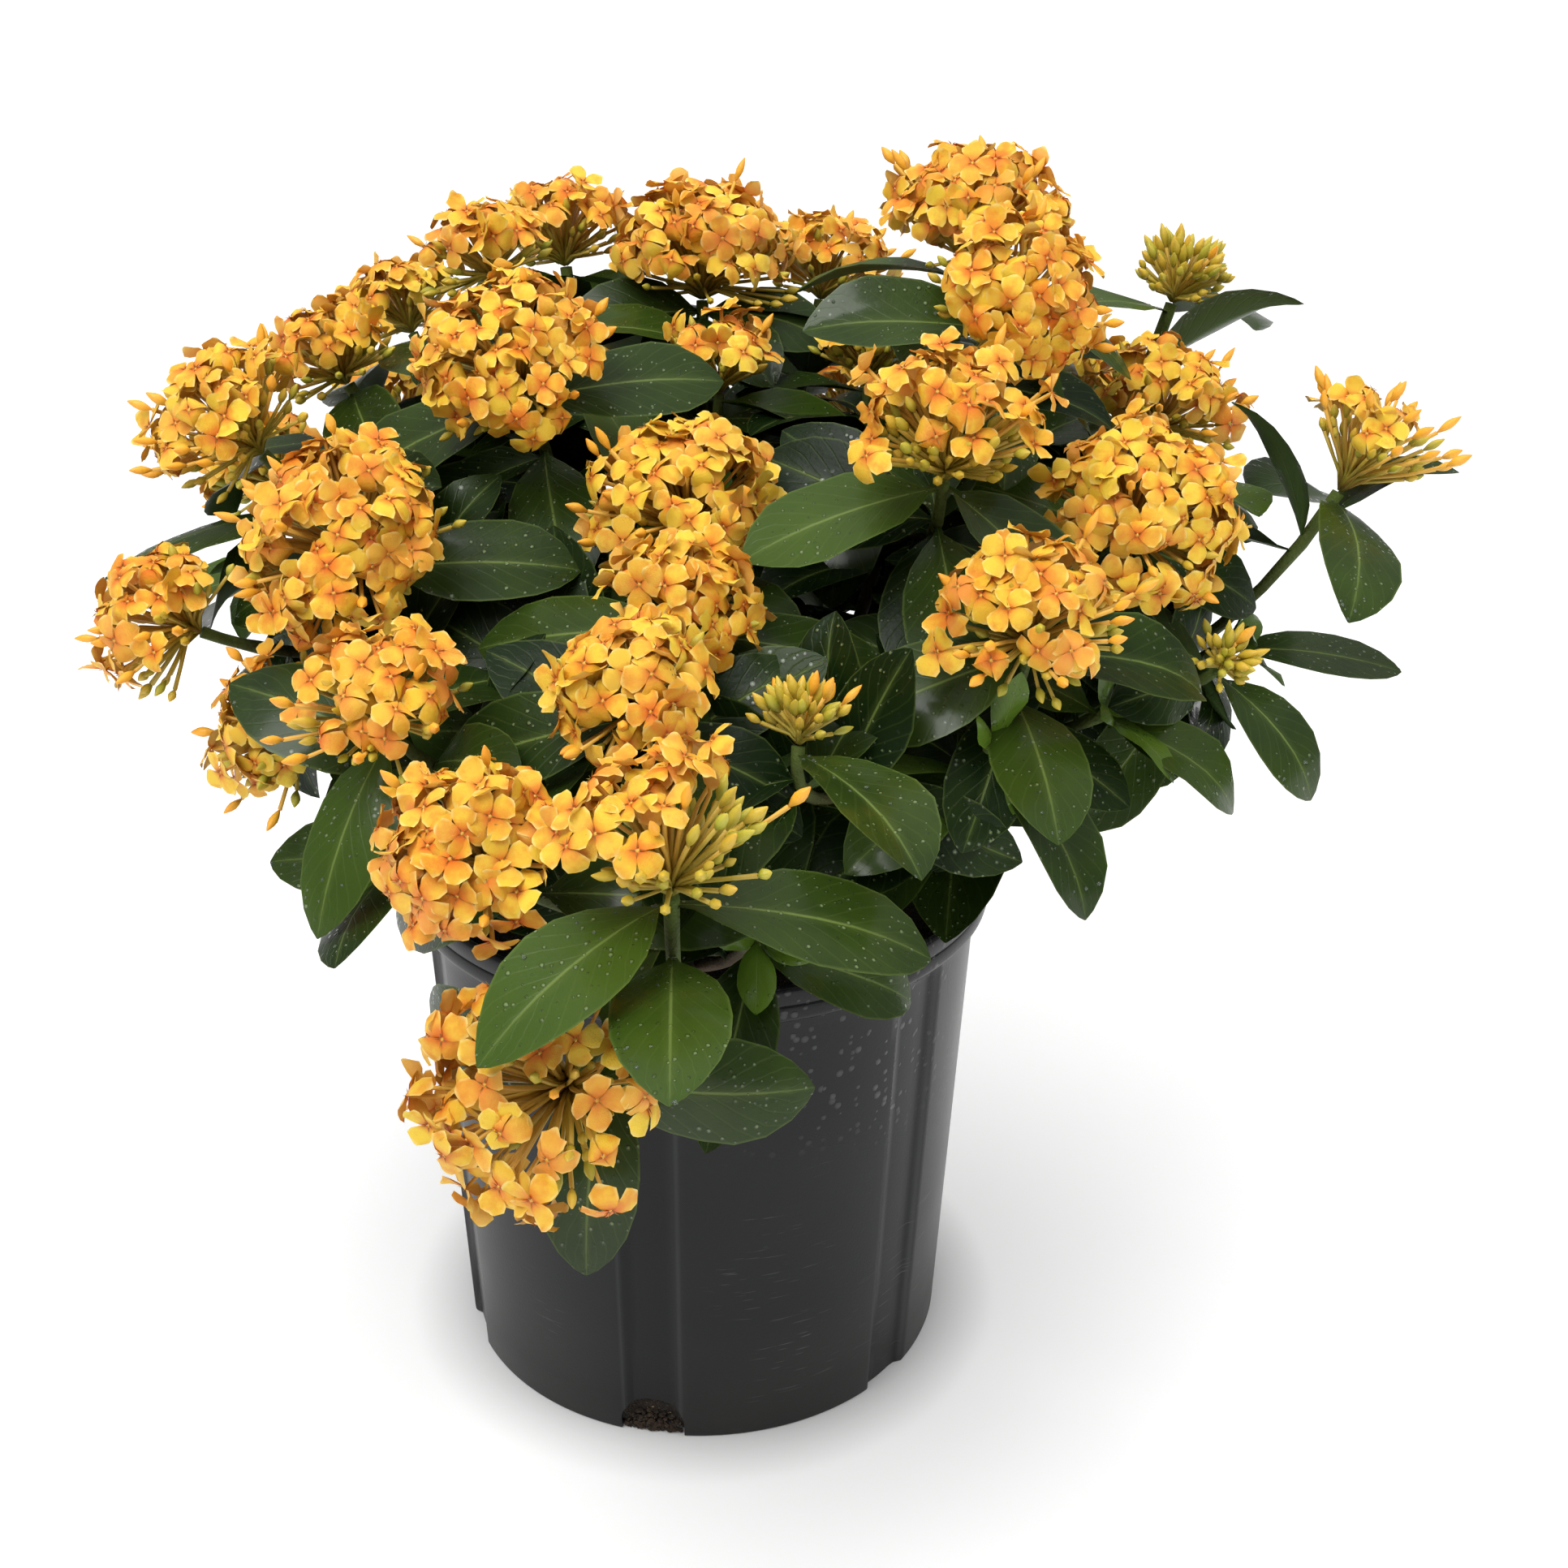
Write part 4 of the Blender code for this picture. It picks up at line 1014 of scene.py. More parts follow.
petalShapeSettings = {
    "outline": ((0.0, 0.24), (0.22, 0.56, 0.0), (0.50, 0.94, 0.0), (0.80, 0.98, 0.06), (1.0, 0.55, 0.12)),
    "across": 4,
    "halfWidth": 4.5 * mm,
    "length": 9.2 * mm,
    "start": 0.5 * mm,
    "depth": 0.40 * mm,
    "cup": 1.3 * mm,
    "groove": 0.35 * mm,
    "roll": 0.9 * mm,
    "twist": 0.13,
    "stamen": 2.2 * mm,
    "stamenRadius": 0.22 * mm,
    "bends": ((-8, 4, -4, 10), (-30, -14, -38, -20), (18, 8, 26, 12), (-52, 6, -20, 14), (-12, -60, 10, -26),
              (30, -22, 34, -10), (-70, -48, -60, -78), (6, -34, -8, -44)),
}


def mergeShapes(shapes):
    merged = {"co": [], "loops": [], "sizes": [], "looks": [], "uv": [], "side": []}
    count = 0
    for shape in shapes:
        for key in ("co", "sizes", "looks", "uv", "side"):
            merged[key].append(shape[key])
        merged["loops"].append(shape["loops"] + count)
        count += len(shape["co"])
    return {key: np.concatenate(value) for key, value in merged.items()}


def makePetalShape():
    s = petalShapeSettings
    petal = shapeOf(sheetShape("petal", s["outline"], s["across"], s["depth"]))
    x, y, z = petal["co"].T.copy()
    petal["uv"] = np.stack((x * 0.5 + 0.5, y), axis=1)[petal["loops"]]
    petal["side"] = (z < -1e-5).astype(float)
    # hollow at the foot, curled back at the tip, grooved along the middle and rolled down at its sides
    lift = z + s["cup"] * (y * 1.2 - 1.6 * y**2) + s["twist"] * x * s["halfWidth"]
    lift += s["groove"] * np.minimum(np.abs(x) * 2, 1) * np.minimum(y * 3, 1)
    lift -= s["roll"] * np.abs(x) ** 3 * np.minimum(y * 1.6, 1)
    petal["co"] = np.stack((x * s["halfWidth"], s["start"] + y * s["length"], lift), axis=1)
    return petal


def makeFloretShape(petal, bends):
    # four rounded petals round a throat, each bent back or up by its own angle, and four brown stamens
    # between them
    s = petalShapeSettings
    shapes = []
    for quarter in range(4):
        turned = dict(petal)
        x, y, z = petal["co"].T
        bend = math.radians(bends[quarter]) * (y / s["length"]) ** 1.3
        bent = np.stack((x, y * np.cos(bend) - z * np.sin(bend), z * np.cos(bend) + y * np.sin(bend)), axis=1)
        turned["co"] = bent @ np.array(Matrix.Rotation(math.pi / 2 * quarter, 3, "Z")).T
        shapes.append(turned)
    for quarter in range(4):
        selectNone()
        bpy.ops.mesh.primitive_cone_add(vertices=3, radius1=s["stamenRadius"], radius2=0, depth=s["stamen"],
                                        location=(0, 0, 0))
        stamen = bpy.context.object
        editAll(stamen)
        bpy.ops.transform.rotate(value=math.radians(62), orient_axis="X", center_override=(0, 0, 0))
        bpy.ops.transform.translate(value=(0, s["start"] + s["stamen"] * 0.55, 0.9 * mm))
        bpy.ops.object.mode_set(mode="OBJECT")
        shape = shapeOf(stamen, look=1)
        angle = math.pi / 2 * quarter + math.pi / 4
        if shape["co"][:, 1].mean() < 0:
            shape["co"][:, 1] *= -1
        shape["co"] = shape["co"] @ np.array(Matrix.Rotation(angle, 3, "Z")).T
        shape["uv"][:, 1] = 0.08
        shapes.append(shape)
    return mergeShapes(shapes)


def makeStrandShape(sides, rings, look=1):
    # a straight strand of unit radius and length, closed at both ends
    selectNone()
    bpy.ops.mesh.primitive_cylinder_add(vertices=sides, radius=1, depth=1, location=(0, 0, 0))
    strand = bpy.context.object
    editAll(strand)
    bpy.ops.transform.translate(value=(0, 0, 0.5))
    for ring in range(1, rings):
        bpy.ops.mesh.select_all(action="SELECT")
        bpy.ops.mesh.bisect(plane_co=(0, 0, ring / rings), plane_no=(0, 0, 1))
    bpy.ops.object.mode_set(mode="OBJECT")
    shape = shapeOf(strand, look=look)
    x, y, z = shape["co"].T
    angle = (np.arctan2(y, x) / (2 * math.pi)) % 1.0
    shape["uv"] = np.stack((angle, z), axis=1)[shape["loops"]]
    return shape


def makeBudShape():
    # a spindle with a blunt point, one unit long
    selectNone()
    bpy.ops.mesh.primitive_uv_sphere_add(segments=6, ring_count=8, radius=1, location=(0, 0, 0))
    bud = bpy.context.object
    editAll(bud)
    bpy.ops.transform.resize(value=(1, 1, 0.5), center_override=(0, 0, 0))
    bpy.ops.transform.translate(value=(0, 0, 0.5))
    bpy.ops.object.mode_set(mode="OBJECT")
    shape = shapeOf(bud, look=2)
    z = shape["co"][:, 2]
    shape["uv"] = np.stack((np.full(len(z), 0.5), z), axis=1)[shape["loops"]]
    return shape


def makePebbleShape():
    selectNone()
    bpy.ops.mesh.primitive_ico_sphere_add(subdivisions=1, radius=1, location=(0, 0, 0))
    return shapeOf(bpy.context.object)


leafShape = makeLeafShape()
petalShape = makePetalShape()
floretShapes = [makeFloretShape(petalShape, bends) for bends in petalShapeSettings["bends"]]
tubeShape = makeStrandShape(4, 3)
twigShape = makeStrandShape(7, 14)
budShape = makeBudShape()
pebbleShape = makePebbleShape()
rootShape = makeStrandShape(5, 10, look=0)
print("repeating shapes modelled: a leaf of", len(leafShape["sizes"]), "faces,",
      "a floret of", len(floretShapes[0]["sizes"]))


def newBatch():
    return {"co": [], "loops": [], "sizes": [], "looks": [], "uv": [], "tone": [], "count": 0}


def addCopy(batch, shape, places, shade=0.5, special=0.0):
    # a copy whose vertices are already in place. shade and special colour this one copy.
    batch["co"].append(places)
    batch["loops"].append(shape["loops"] + batch["count"])
    batch["sizes"].append(shape["sizes"])
    batch["looks"].append(shape["looks"])
    batch["uv"].append(shape["uv"])
    tone = np.ones((len(places), 4))
    tone[:, 0] = shade
    tone[:, 1] = shape["side"]
    tone[:, 2] = special
    batch["tone"].append(tone)
    batch["count"] += len(places)


def pieceFrom(name, batch, looks, slot, *nodes):
    mesh = bpy.data.meshes.new(name)
    places = np.concatenate(batch["co"]).astype(np.float32)
    loops = np.concatenate(batch["loops"]).astype(np.int32)
    sizes = np.concatenate(batch["sizes"])
    starts = np.concatenate(([0], np.cumsum(sizes)[:-1])).astype(np.int32)
    mesh.vertices.add(len(places))
    mesh.vertices.foreach_set("co", places.ravel())
    mesh.loops.add(len(loops))
    mesh.loops.foreach_set("vertex_index", loops)
    mesh.polygons.add(len(sizes))
    mesh.polygons.foreach_set("loop_start", starts)
    mesh.polygons.foreach_set("material_index", np.concatenate(batch["looks"]).astype(np.int32))
    mesh.update(calc_edges=True)
    uv = mesh.uv_layers.new(name="UVMap")
    uv.data.foreach_set("uv", np.concatenate(batch["uv"]).astype(np.float32).ravel())
    tone = mesh.color_attributes.new("tone", "FLOAT_COLOR", "POINT")
    tone.data.foreach_set("color", np.concatenate(batch["tone"]).astype(np.float32).ravel())
    mesh.validate()
    for look in looks:
        mesh.materials.append(look)
    mesh.shade_smooth()
    mesh.set_sharp_from_angle(angle=math.radians(100))  # keeps the rims of leaves and petals thin
    piece = bpy.data.objects.new(name, mesh)
    bpy.context.scene.collection.objects.link(piece)
    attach(piece, "root")
    if nodes:
        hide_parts(*nodes)
    return piece


def bezierArrays(path, share):
    a, b, c, d = [np.array(point) for point in path]
    share = share[:, None]
    rest = 1 - share
    point = a * rest**3 + b * 3 * rest**2 * share + c * 3 * rest * share**2 + d * share**3
    way = (b - a) * rest**2 + (c - b) * 2 * rest * share + (d - c) * share**2
    return point, way / np.linalg.norm(way, axis=1)[:, None]


def strandAlong(shape, path, radius):
    # the strand bent along a path, with a radius for each share of its length
    x, y, z = shape["co"].T
    point, way = bezierArrays(path, z)
    chord = np.array(path[3] - path[0])
    steep = abs(chord[2]) >= 0.8 * np.linalg.norm(chord)
    side = np.cross(chord, (0.93, 0.31, 0.17) if steep else (0.31, 0.17, 0.93))
    side = side - way * (way @ side)[:, None]
    side /= np.linalg.norm(side, axis=1)[:, None]
    other = np.cross(way, side)
    reach = radius(z)[:, None]
    return point + (side * x[:, None] + other * y[:, None]) * reach


# how much a single blade departs from a plain arch, with its heights in mm
bladeSettings = {
    "fold": (-0.02, 0.40),
    "waveHeight": (0.4, 2.2),
    "waveTurns": (7, 12),  # in radians from foot to tip
    "ribDepth": 0.55,
    "edgeLift": (-4.0, 0.5),
    "tipDrop": (-1.0, 5.0),
    "dropFrom": 0.55,
    "twist": (-0.25, 0.25),
    "skew": (-0.08, 0.22),
}


def bentLeaf(leaf, draw):
    # the leaf laid along its own arch, folded a little along the midrib, with a wavy edge
    s = bladeSettings
    x, y, z = leafShape["co"].T
    across = leafShape["across"]
    pitch, droop = leaf["pitch"], leaf["droop"]
    here = pitch - droop * y
    out = (math.sin(pitch) - np.sin(here)) / droop * leaf["length"]
    up = (np.cos(here) - math.cos(pitch)) / droop * leaf["length"]
    half = leaf["width"] / 2
    fold = draw.uniform(*s["fold"])
    wave = draw.uniform(*s["waveHeight"]) * mm
    phase = draw.uniform(0, 6.28)
    swell = np.sin(np.clip(y, 0, 1) * math.pi)
    lift = z + np.abs(x) * half * fold - s["ribDepth"] * mm * (1 - np.abs(across)) ** 2 * swell
    lift = lift + wave * np.sin(y * draw.uniform(*s["waveTurns"]) + phase + np.sign(x)) * across**2 * swell
    lift = lift + draw.uniform(*s["edgeLift"]) * mm * across**2 * swell
    outer = np.clip((y - s["dropFrom"]) / (1 - s["dropFrom"]), 0, 1)
    lift = lift - draw.uniform(*s["tipDrop"]) * mm * outer**2
    twist = draw.uniform(*s["twist"]) * y**2
    rootVec, outVec, upVec = [np.array(leaf[key]) for key in ("root", "out", "up")]
    sideVec = -np.array(leaf["side"])
    over = upVec * np.cos(here)[:, None] - outVec * np.sin(here)[:, None]
    wide = x * half * (1 + draw.uniform(*s["skew"]) * (y - 0.5))
    flat = wide * np.cos(twist) - lift * np.sin(twist)
    rise = lift * np.cos(twist) + wide * np.sin(twist)
    middle = rootVec + outVec * out[:, None] + upVec * up[:, None]
    return middle + sideVec * flat[:, None] + over * rise[:, None]


leafySettings = {
    "slim": 0.86,  # thickness of a shoot between its nodes
    "swelling": 0.28,  # and how much it swells at a node
    "nodeLength": 0.022,
    "youngTips": 4,
    "youngLeaf": (0.087, 0.036),
    "youngSizes": (0.42, 0.30),  # of the outer and the inner pair
    "innerShares": (0.34, 0.42, 0.50, 0.58, 0.66, 0.74, 0.82, 0.89),
    "innerLeaf": (0.080, 0.037),
    "crownMiddle": (0.02, 0.0, 0.36),
    "crownHalf": (0.225, 0.235, 0.148),
    "crownFoot": 0.262,
    "crownEdge": 0.12,
    "crownSlope": 0.7,
    "openDroop": math.radians(48),
}
heads = [head for stem in stems for head in stem["heads"]]
headMiddles = np.array([head["middle"] for head in heads])
headReach = np.array([head["radius"] for head in heads])


def insideCrown(places, spare=1.04):
    # a leaf that only fills the inside keeps out of the heads, the pot and the open air round the crown
    s = leafySettings
    for place in places:
        away = np.linalg.norm(headMiddles - place, axis=1)
        if (away < headReach * spare).any():
            return False
        outside = max(0.0, math.hypot(place[0], place[1]) - s["crownEdge"])
        if place[2] < s["crownFoot"] + outside * s["crownSlope"]:
            return False
        if (((place - s["crownMiddle"]) / s["crownHalf"]) ** 2).sum() > 1:
            return False
    return True


def innerLeaves(stem, draw):
    # the leaves further down each shoot, that darken the inside of the shrub: they shade it, and they are
    # painted darker as painted shade
    length, width = leafySettings["innerLeaf"]
    made = []
    for shoot in stem["shoots"]:
        for share in leafySettings["innerShares"]:
            point, way = along(shoot["path"], share)
            turn = draw.uniform(0, math.pi)
            for half in (0, math.pi):
                spoke = way.orthogonal().normalized()
                spoke = Matrix.Rotation(turn + half, 3, way) @ spoke
                size = draw.uniform(0.72, 1.0)
                leaf = {"root": point, "out": spoke, "up": way, "side": way.cross(spoke).normalized(),
                        "pitch": math.radians(draw.uniform(5, 40)),
                        "droop": math.radians(draw.uniform(25, 60)),
                        "length": length * size, "width": width * size}
                probes = [np.array(bladeAt(leaf, part)[0]) for part in (0.35, 0.7, 1.0)]
                if insideCrown(probes):
                    made.append(leaf)
    return made


def youngTip(shoot, draw):
    # small upright leaves at the end of a shoot that has no flowers yet
    point, way = along(shoot["path"], 1.0)
    length, width = leafySettings["youngLeaf"]
    made = []
    for number in range(leafySettings["youngTips"]):
        turn = math.pi * number + (number // 2) * 1.45 + 0.6
        spoke = Matrix.Rotation(turn, 3, way) @ way.orthogonal().normalized()
        size = leafySettings["youngSizes"][number // 2] * draw.uniform(0.85, 1.1)
        made.append({"root": point - way * mm, "out": spoke, "up": way, "side": way.cross(spoke).normalized(),
                     "pitch": math.radians(draw.uniform(45, 62)), "droop": math.radians(draw.uniform(20, 45)),
                     "length": length * size, "width": width * size})
    return made


# leaves that lie in the open: stem, shoot, share along it, place of the tip in cm, width in mm, and how
# much the blade turns to the front
openLeaves = {
    "over the rim": ("15", 0, 0.30, (10.2, -11.4, 26.2), 46, 0.0),
    "inside the rim": ("14", 2, 0.25, (6.6, -11.8, 26.6), 44, 0.0),
    "left under head 04": ("01", 0, 0.985, (-6.2, 8.0, 46.9), 38, 0.6),
    "right under head 04": ("01", 0, 0.985, (6.2, 8.6, 46.9), 38, 0.6),
    "before head 04": ("01", 0, 0.98, (-1.6, 5.4, 45.2), 36, 0.5),
    "behind head 04": ("01", 0, 0.97, (3.4, 5.8, 45.4), 34, 0.5),
    "left under head 06": ("05", 0, 0.985, (-10.6, 11.0, 46.8), 36, 0.6),
    "right under head 06": ("05", 0, 0.985, (-2.2, 11.4, 46.6), 36, 0.6),
    "left under head 05": ("06", 0, 0.985, (2.0, 12.6, 45.4), 36, 0.6),
    "right under head 05": ("06", 0, 0.985, (9.8, 12.2, 45.2), 36, 0.6),
    "under head 16": ("01", 0, 0.80, (4.8, 4.4, 43.0), 38, 0.6),
    "beside head 21": ("15", 0, 0.93, (22.2, -3.4, 47.4), 24, 0.0),
    "behind head 21": ("15", 0, 0.96, (33.2, -0.6, 43.6), 22, 0.0),
}


def openLeaf(shoot, share, tip, width, turn):
    # an evenly arched blade between a shoot and its tip
    root = along(shoot["path"], share)[0]
    chord = Vector(tip) * cm - root
    out = chord.normalized()
    up = Vector((0, -turn, 1))
    up = (up - out * up.dot(out)).normalized()
    droop = leafySettings["openDroop"]
    return {"root": root, "out": out, "up": up, "side": up.cross(out).normalized(), "pitch": droop / 2,
            "droop": droop, "length": chord.length * droop / 2 / math.sin(droop / 2), "width": width * mm}


allLeaves = []  # the finished blades that can carry drops of water
for stem in stems:
    draw = random.Random(500 + int(stem["name"]))
    batch = newBatch()
    for shoot in stem["shoots"]:
        thick, thin = shoot["radii"]
        nodes = shoot["nodes"]

        def girth(share, thick=thick, thin=thin, nodes=nodes):
            s = leafySettings
            swell = sum(np.exp(-(((share - node) / s["nodeLength"]) ** 2)) for node in nodes)
            return (thick + (thin - thick) * share) * (s["slim"] + s["swelling"] * swell)

        path = shoot["path"]
        start = path[0] - (path[1] - path[0]).normalized() * 3 * mm
        addCopy(batch, twigShape, strandAlong(twigShape, (start, path[1], path[2], path[3]), girth))
        for leaf in shoot["leaves"]:
            places = bentLeaf(leaf, draw)
            age = max(0.0, draw.gauss(0.0, 0.16))
            addCopy(batch, leafShape, places, shade=draw.uniform(0.1, 1.0), special=min(age, 0.5))
            allLeaves.append(places)
        if not shoot["flowers"]:
            for leaf in youngTip(shoot, draw):
                addCopy(batch, leafShape, bentLeaf(leaf, draw), shade=0.9, special=draw.uniform(0.35, 0.8))
    for name, number, share, tip, width, turn in openLeaves.values():
        if name == stem["name"]:
            places = bentLeaf(openLeaf(stem["shoots"][number], share, tip, width, turn), draw)
            addCopy(batch, leafShape, places, shade=0.45)
            allLeaves.append(places)
    for leaf in innerLeaves(stem, draw):
        # inner leaves get a low shade value, so they are painted dark: painted shade for the inside of the
        # shrub
        addCopy(batch, leafShape, bentLeaf(leaf, draw), shade=draw.uniform(-0.8, 0.1))
    pieceFrom("leafyStem_" + stem["name"], batch, (leafLook, barkLook), "leaf", "leafy_stem_" + stem["name"])
print("leafy stems made")

# for each kind of head: spacing of its florets, share that is open, reach from the axis in degrees, number of
# green buds and how near the axis they stand, depth of the dome, share of ripe buds among the closed ones,
# how much more is open on the leading side, and how bare the other side is
headSettings = {
    "full": {"spacing": 12.3 * mm, "open": 0.89, "reach": 95, "green": 20, "low": 0.0, "depth": 0.92,
             "ripe": 0.85, "leading": 0.1, "bare": 0.0},
    "half": {"spacing": 12.4 * mm, "open": 0.72, "reach": 88, "green": 34, "low": 0.1, "depth": 0.92,
             "ripe": 0.55, "leading": 0.6, "bare": 0.1},
    "open": {"spacing": 12.4 * mm, "open": 0.50, "reach": 78, "green": 50, "low": 0.6, "depth": 0.95,
             "ripe": 0.25, "leading": 1.0, "bare": 0.35},
    "loose": {"spacing": 12.8 * mm, "open": 0.80, "reach": 104, "green": 24, "low": 0.2, "depth": 0.97,
              "ripe": 0.35, "leading": 0.4, "bare": 0.55},
    "spiky": {"spacing": 11.0 * mm, "open": 0.26, "reach": 66, "green": 34, "low": 0.7, "depth": 0.98,
              "ripe": 0.55, "leading": 0.5, "bare": 0.0},
    "bud": {"spacing": 8.6 * mm, "open": 0.03, "reach": 78, "green": 34, "low": 0.2, "depth": 0.84,
            "ripe": 0.05, "leading": 0.02, "bare": 0.0},
    "tight": {"spacing": 8.0 * mm, "open": 0.0, "reach": 70, "green": 18, "low": 0.3, "depth": 0.84,
              "ripe": 0.12, "leading": 0.0, "bare": 0.0},
}
# heads that open first on a side instead of on top
leadingSides = {
    "11": ("half", (-0.5, -0.2, 0.8)),
    "13": ("half", (-0.6, -0.2, 0.7)),
    "14": ("half", (-0.9, -0.3, 0.3)),
    "15": ("half", (0.3, 0.3, 0.9)),
    "21": ("spiky", (-0.1, 0.0, 1.0)),
    "28": ("open", (-0.45, 0.25, 0.85)),
    "29": ("loose", (-0.95, 0.10, 0.30)),
}
headFlatness = 0.80  # a head is less high than wide
goldenAngle = math.pi * (3 - math.sqrt(5))
# the parts of a head, with ruffles, bends, girths and buds in mm
flowerSettings = {
    "floretReach": 0.0102,
    "floretSizes": (0.88, 1.12),
    "ruffle": (0.3, 1.3),
    "tipBend": (-3.0, 1.6),
    "tubeGirth": (1.25, 0.7, 0.35),  # at the foot, lost by the middle, and won towards the mouth
    "closedBud": ((9.0, 12.5), (1.6, 2.1)),  # length and radius
    "greenBud": ((5.5, 9.5), (1.4, 1.9)),
    "packing": 0.93,
    "wobbles": {"way": 0.085, "floret": 0.36, "bud": 0.13},
}


def floretPlaces(shape, mouth, facing, draw):
    # one floret turned and bent its own way, with ruffled petals
    s = flowerSettings
    turned = facing.to_track_quat("Z", "Y").to_matrix() @ Matrix.Rotation(draw.uniform(0, 6.28), 3, "Z")
    places = shape["co"].copy()
    outer = np.hypot(places[:, 0], places[:, 1]) / s["floretReach"]
    turn = np.arctan2(places[:, 1], places[:, 0])
    ruffle = draw.uniform(*s["ruffle"]) * mm
    ruffle = ruffle * np.sin(turn * draw.choice((5, 7, 9)) + draw.uniform(0, 6.28))
    places[:, 2] += (draw.uniform(*s["tipBend"]) * mm + ruffle) * outer**2
    return np.array(mouth) + (places * draw.uniform(*s["floretSizes"])) @ np.array(turned).T


def addTube(batch, head, tip, facing, shade, green=0.0):
    # the slim tube from the middle of the head to a floret or a bud
    thick, lost, won = flowerSettings["tubeGirth"]
    foot = head["base"] + head["axis"] * 1.0 * mm
    reach = (tip - foot).length
    path = (foot, foot + (head["axis"] + (tip - foot).normalized() * 0.9).normalized() * reach * 0.35,
            tip - facing * reach * 0.38, tip)

    def girth(share):
        return (thick - lost * np.minimum(share * 2, 1) + won * share) * mm

    addCopy(batch, tubeShape, strandAlong(tubeShape, path, girth), shade, green)


def addBud(batch, tip, way, length, girth, green):
    turned = np.array(way.to_track_quat("Z", "Y").to_matrix())
    places = budShape["co"].copy()
    taper = 0.34 + 0.75 * np.sin(np.clip(places[:, 2], 0, 1) * math.pi * 0.72 + 0.40) ** 2
    places[:, :2] *= girth * taper[:, None]
    places[:, 2] *= length
    addCopy(batch, budShape, np.array(tip) + places @ turned.T, 0.5, green)


def wobble(draw, size):
    return Vector((draw.gauss(0, size), draw.gauss(0, size), draw.gauss(0, size)))


def flowerHead(head):
    kind, lead = leadingSides.get(head["name"], (head["kind"], (0, 0, 1)))
    s = headSettings[kind]
    lead = Vector(lead).normalized()
    draw = random.Random(800 + int(head["name"]))
    batch = newBatch()
    axis, radius, middle = head["axis"], head["radius"], head["middle"]
    side = axis.orthogonal().normalized()
    other = axis.cross(side)
    reach = math.radians(s["reach"])
    area = 2 * math.pi * radius**2 * (1 - math.cos(reach))
    count = max(7, round(area / (s["spacing"] ** 2 * flowerSettings["packing"])))
    wobbles = flowerSettings["wobbles"]
    closedLengths, closedGirths = flowerSettings["closedBud"]
    greenLengths, greenGirths = flowerSettings["greenBud"]
    start = draw.uniform(0, 6.28)
    headShade = draw.uniform(-0.15, 0.15)
    for number in range(count):
        up = 1 - (1 - math.cos(reach)) * (number + 0.5) / count
        angle = start + number * goldenAngle
        flat = math.sqrt(max(0.0, 1 - up * up))
        way = side * (flat * math.cos(angle)) + other * (flat * math.sin(angle)) + axis * up
        way = (way + wobble(draw, wobbles["way"])).normalized()
        patch = noise.noise(way * 1.3 + Vector((0, int(head["name"]) * 2.3, 0)))
        ahead = way.dot(lead) - 0.55 * axis.dot(lead)
        if draw.random() < s["bare"] * (0.1 - ahead):
            continue
        opened = draw.random() < s["open"] * (1 + patch * (1 - s["open"])) + s["leading"] * ahead
        lump = noise.noise(way * 1.9 + Vector((int(head["name"]) * 3.1, 0, 0)))
        depth = s["depth"] * (draw.uniform(0.86, 1.07 + 0.2 * s["bare"]) + 0.18 * lump)
        spoke = way - axis * way.dot(axis) * (1 - headFlatness)
        if opened:
            mouth = middle + spoke * radius * depth
            facing = (way + axis * 0.22 + wobble(draw, wobbles["floret"])).normalized()
            shade = min(1.0, max(0.0, draw.gauss(0.52, 0.28) + headShade))
            peach = max(0.0, draw.gauss(-0.05, 0.40))
            addTube(batch, head, mouth, (facing + way).normalized(), shade)
            floret = draw.choice(floretShapes)
            addCopy(batch, floret, floretPlaces(floret, mouth, facing, draw), shade, min(peach, 0.9))
        else:
            length = draw.uniform(*closedLengths) * mm
            ripe = draw.random() < s["ripe"]
            low = max(0.0, 0.55 - way.dot(axis))
            far = draw.uniform(1.02, 1.36) if ripe else draw.uniform(0.76, 1.02) - 0.45 * low
            tip = middle + spoke * radius * s["depth"] * far - way * length * 0.5
            lean = (way + axis * (0.35 + 0.9 * low) + wobble(draw, wobbles["bud"])).normalized()
            green = 0.0 if ripe else draw.uniform(0.55, 1.0)
            addTube(batch, head, tip, lean, 0.5, green * 0.8)
            addBud(batch, tip - lean * 0.4 * mm, lean, length, draw.uniform(*closedGirths) * mm, green)
    for _ in range(s["green"]):
        # short green buds low in the head and between its florets
        angle = draw.uniform(0, 6.28)
        up = s["low"] + draw.uniform(0.0, 0.95)
        way = (side * math.cos(angle) + other * math.sin(angle) + axis * up).normalized()
        tip = head["base"] + way * radius * draw.uniform(0.50, 0.92)
        addTube(batch, head, tip, way, 0.5, 0.8)
        length, girth = draw.uniform(*greenLengths) * mm, draw.uniform(*greenGirths) * mm
        addBud(batch, tip - way * 0.3 * mm, way, length, girth, draw.uniform(0.6, 1.0))
    looks = (petalLook, strandLook, budLook)
    return pieceFrom("flowerHead_" + head["name"], batch, looks, "petal", "flower_head_" + head["name"])


for head in heads:
    flowerHead(head)
print("flower heads made")

dropSettings = {"leaves": 120, "perLeaf": 13, "seed": 31, "size": (0.45 * mm, 1.05 * mm), "steepest": 0.15}


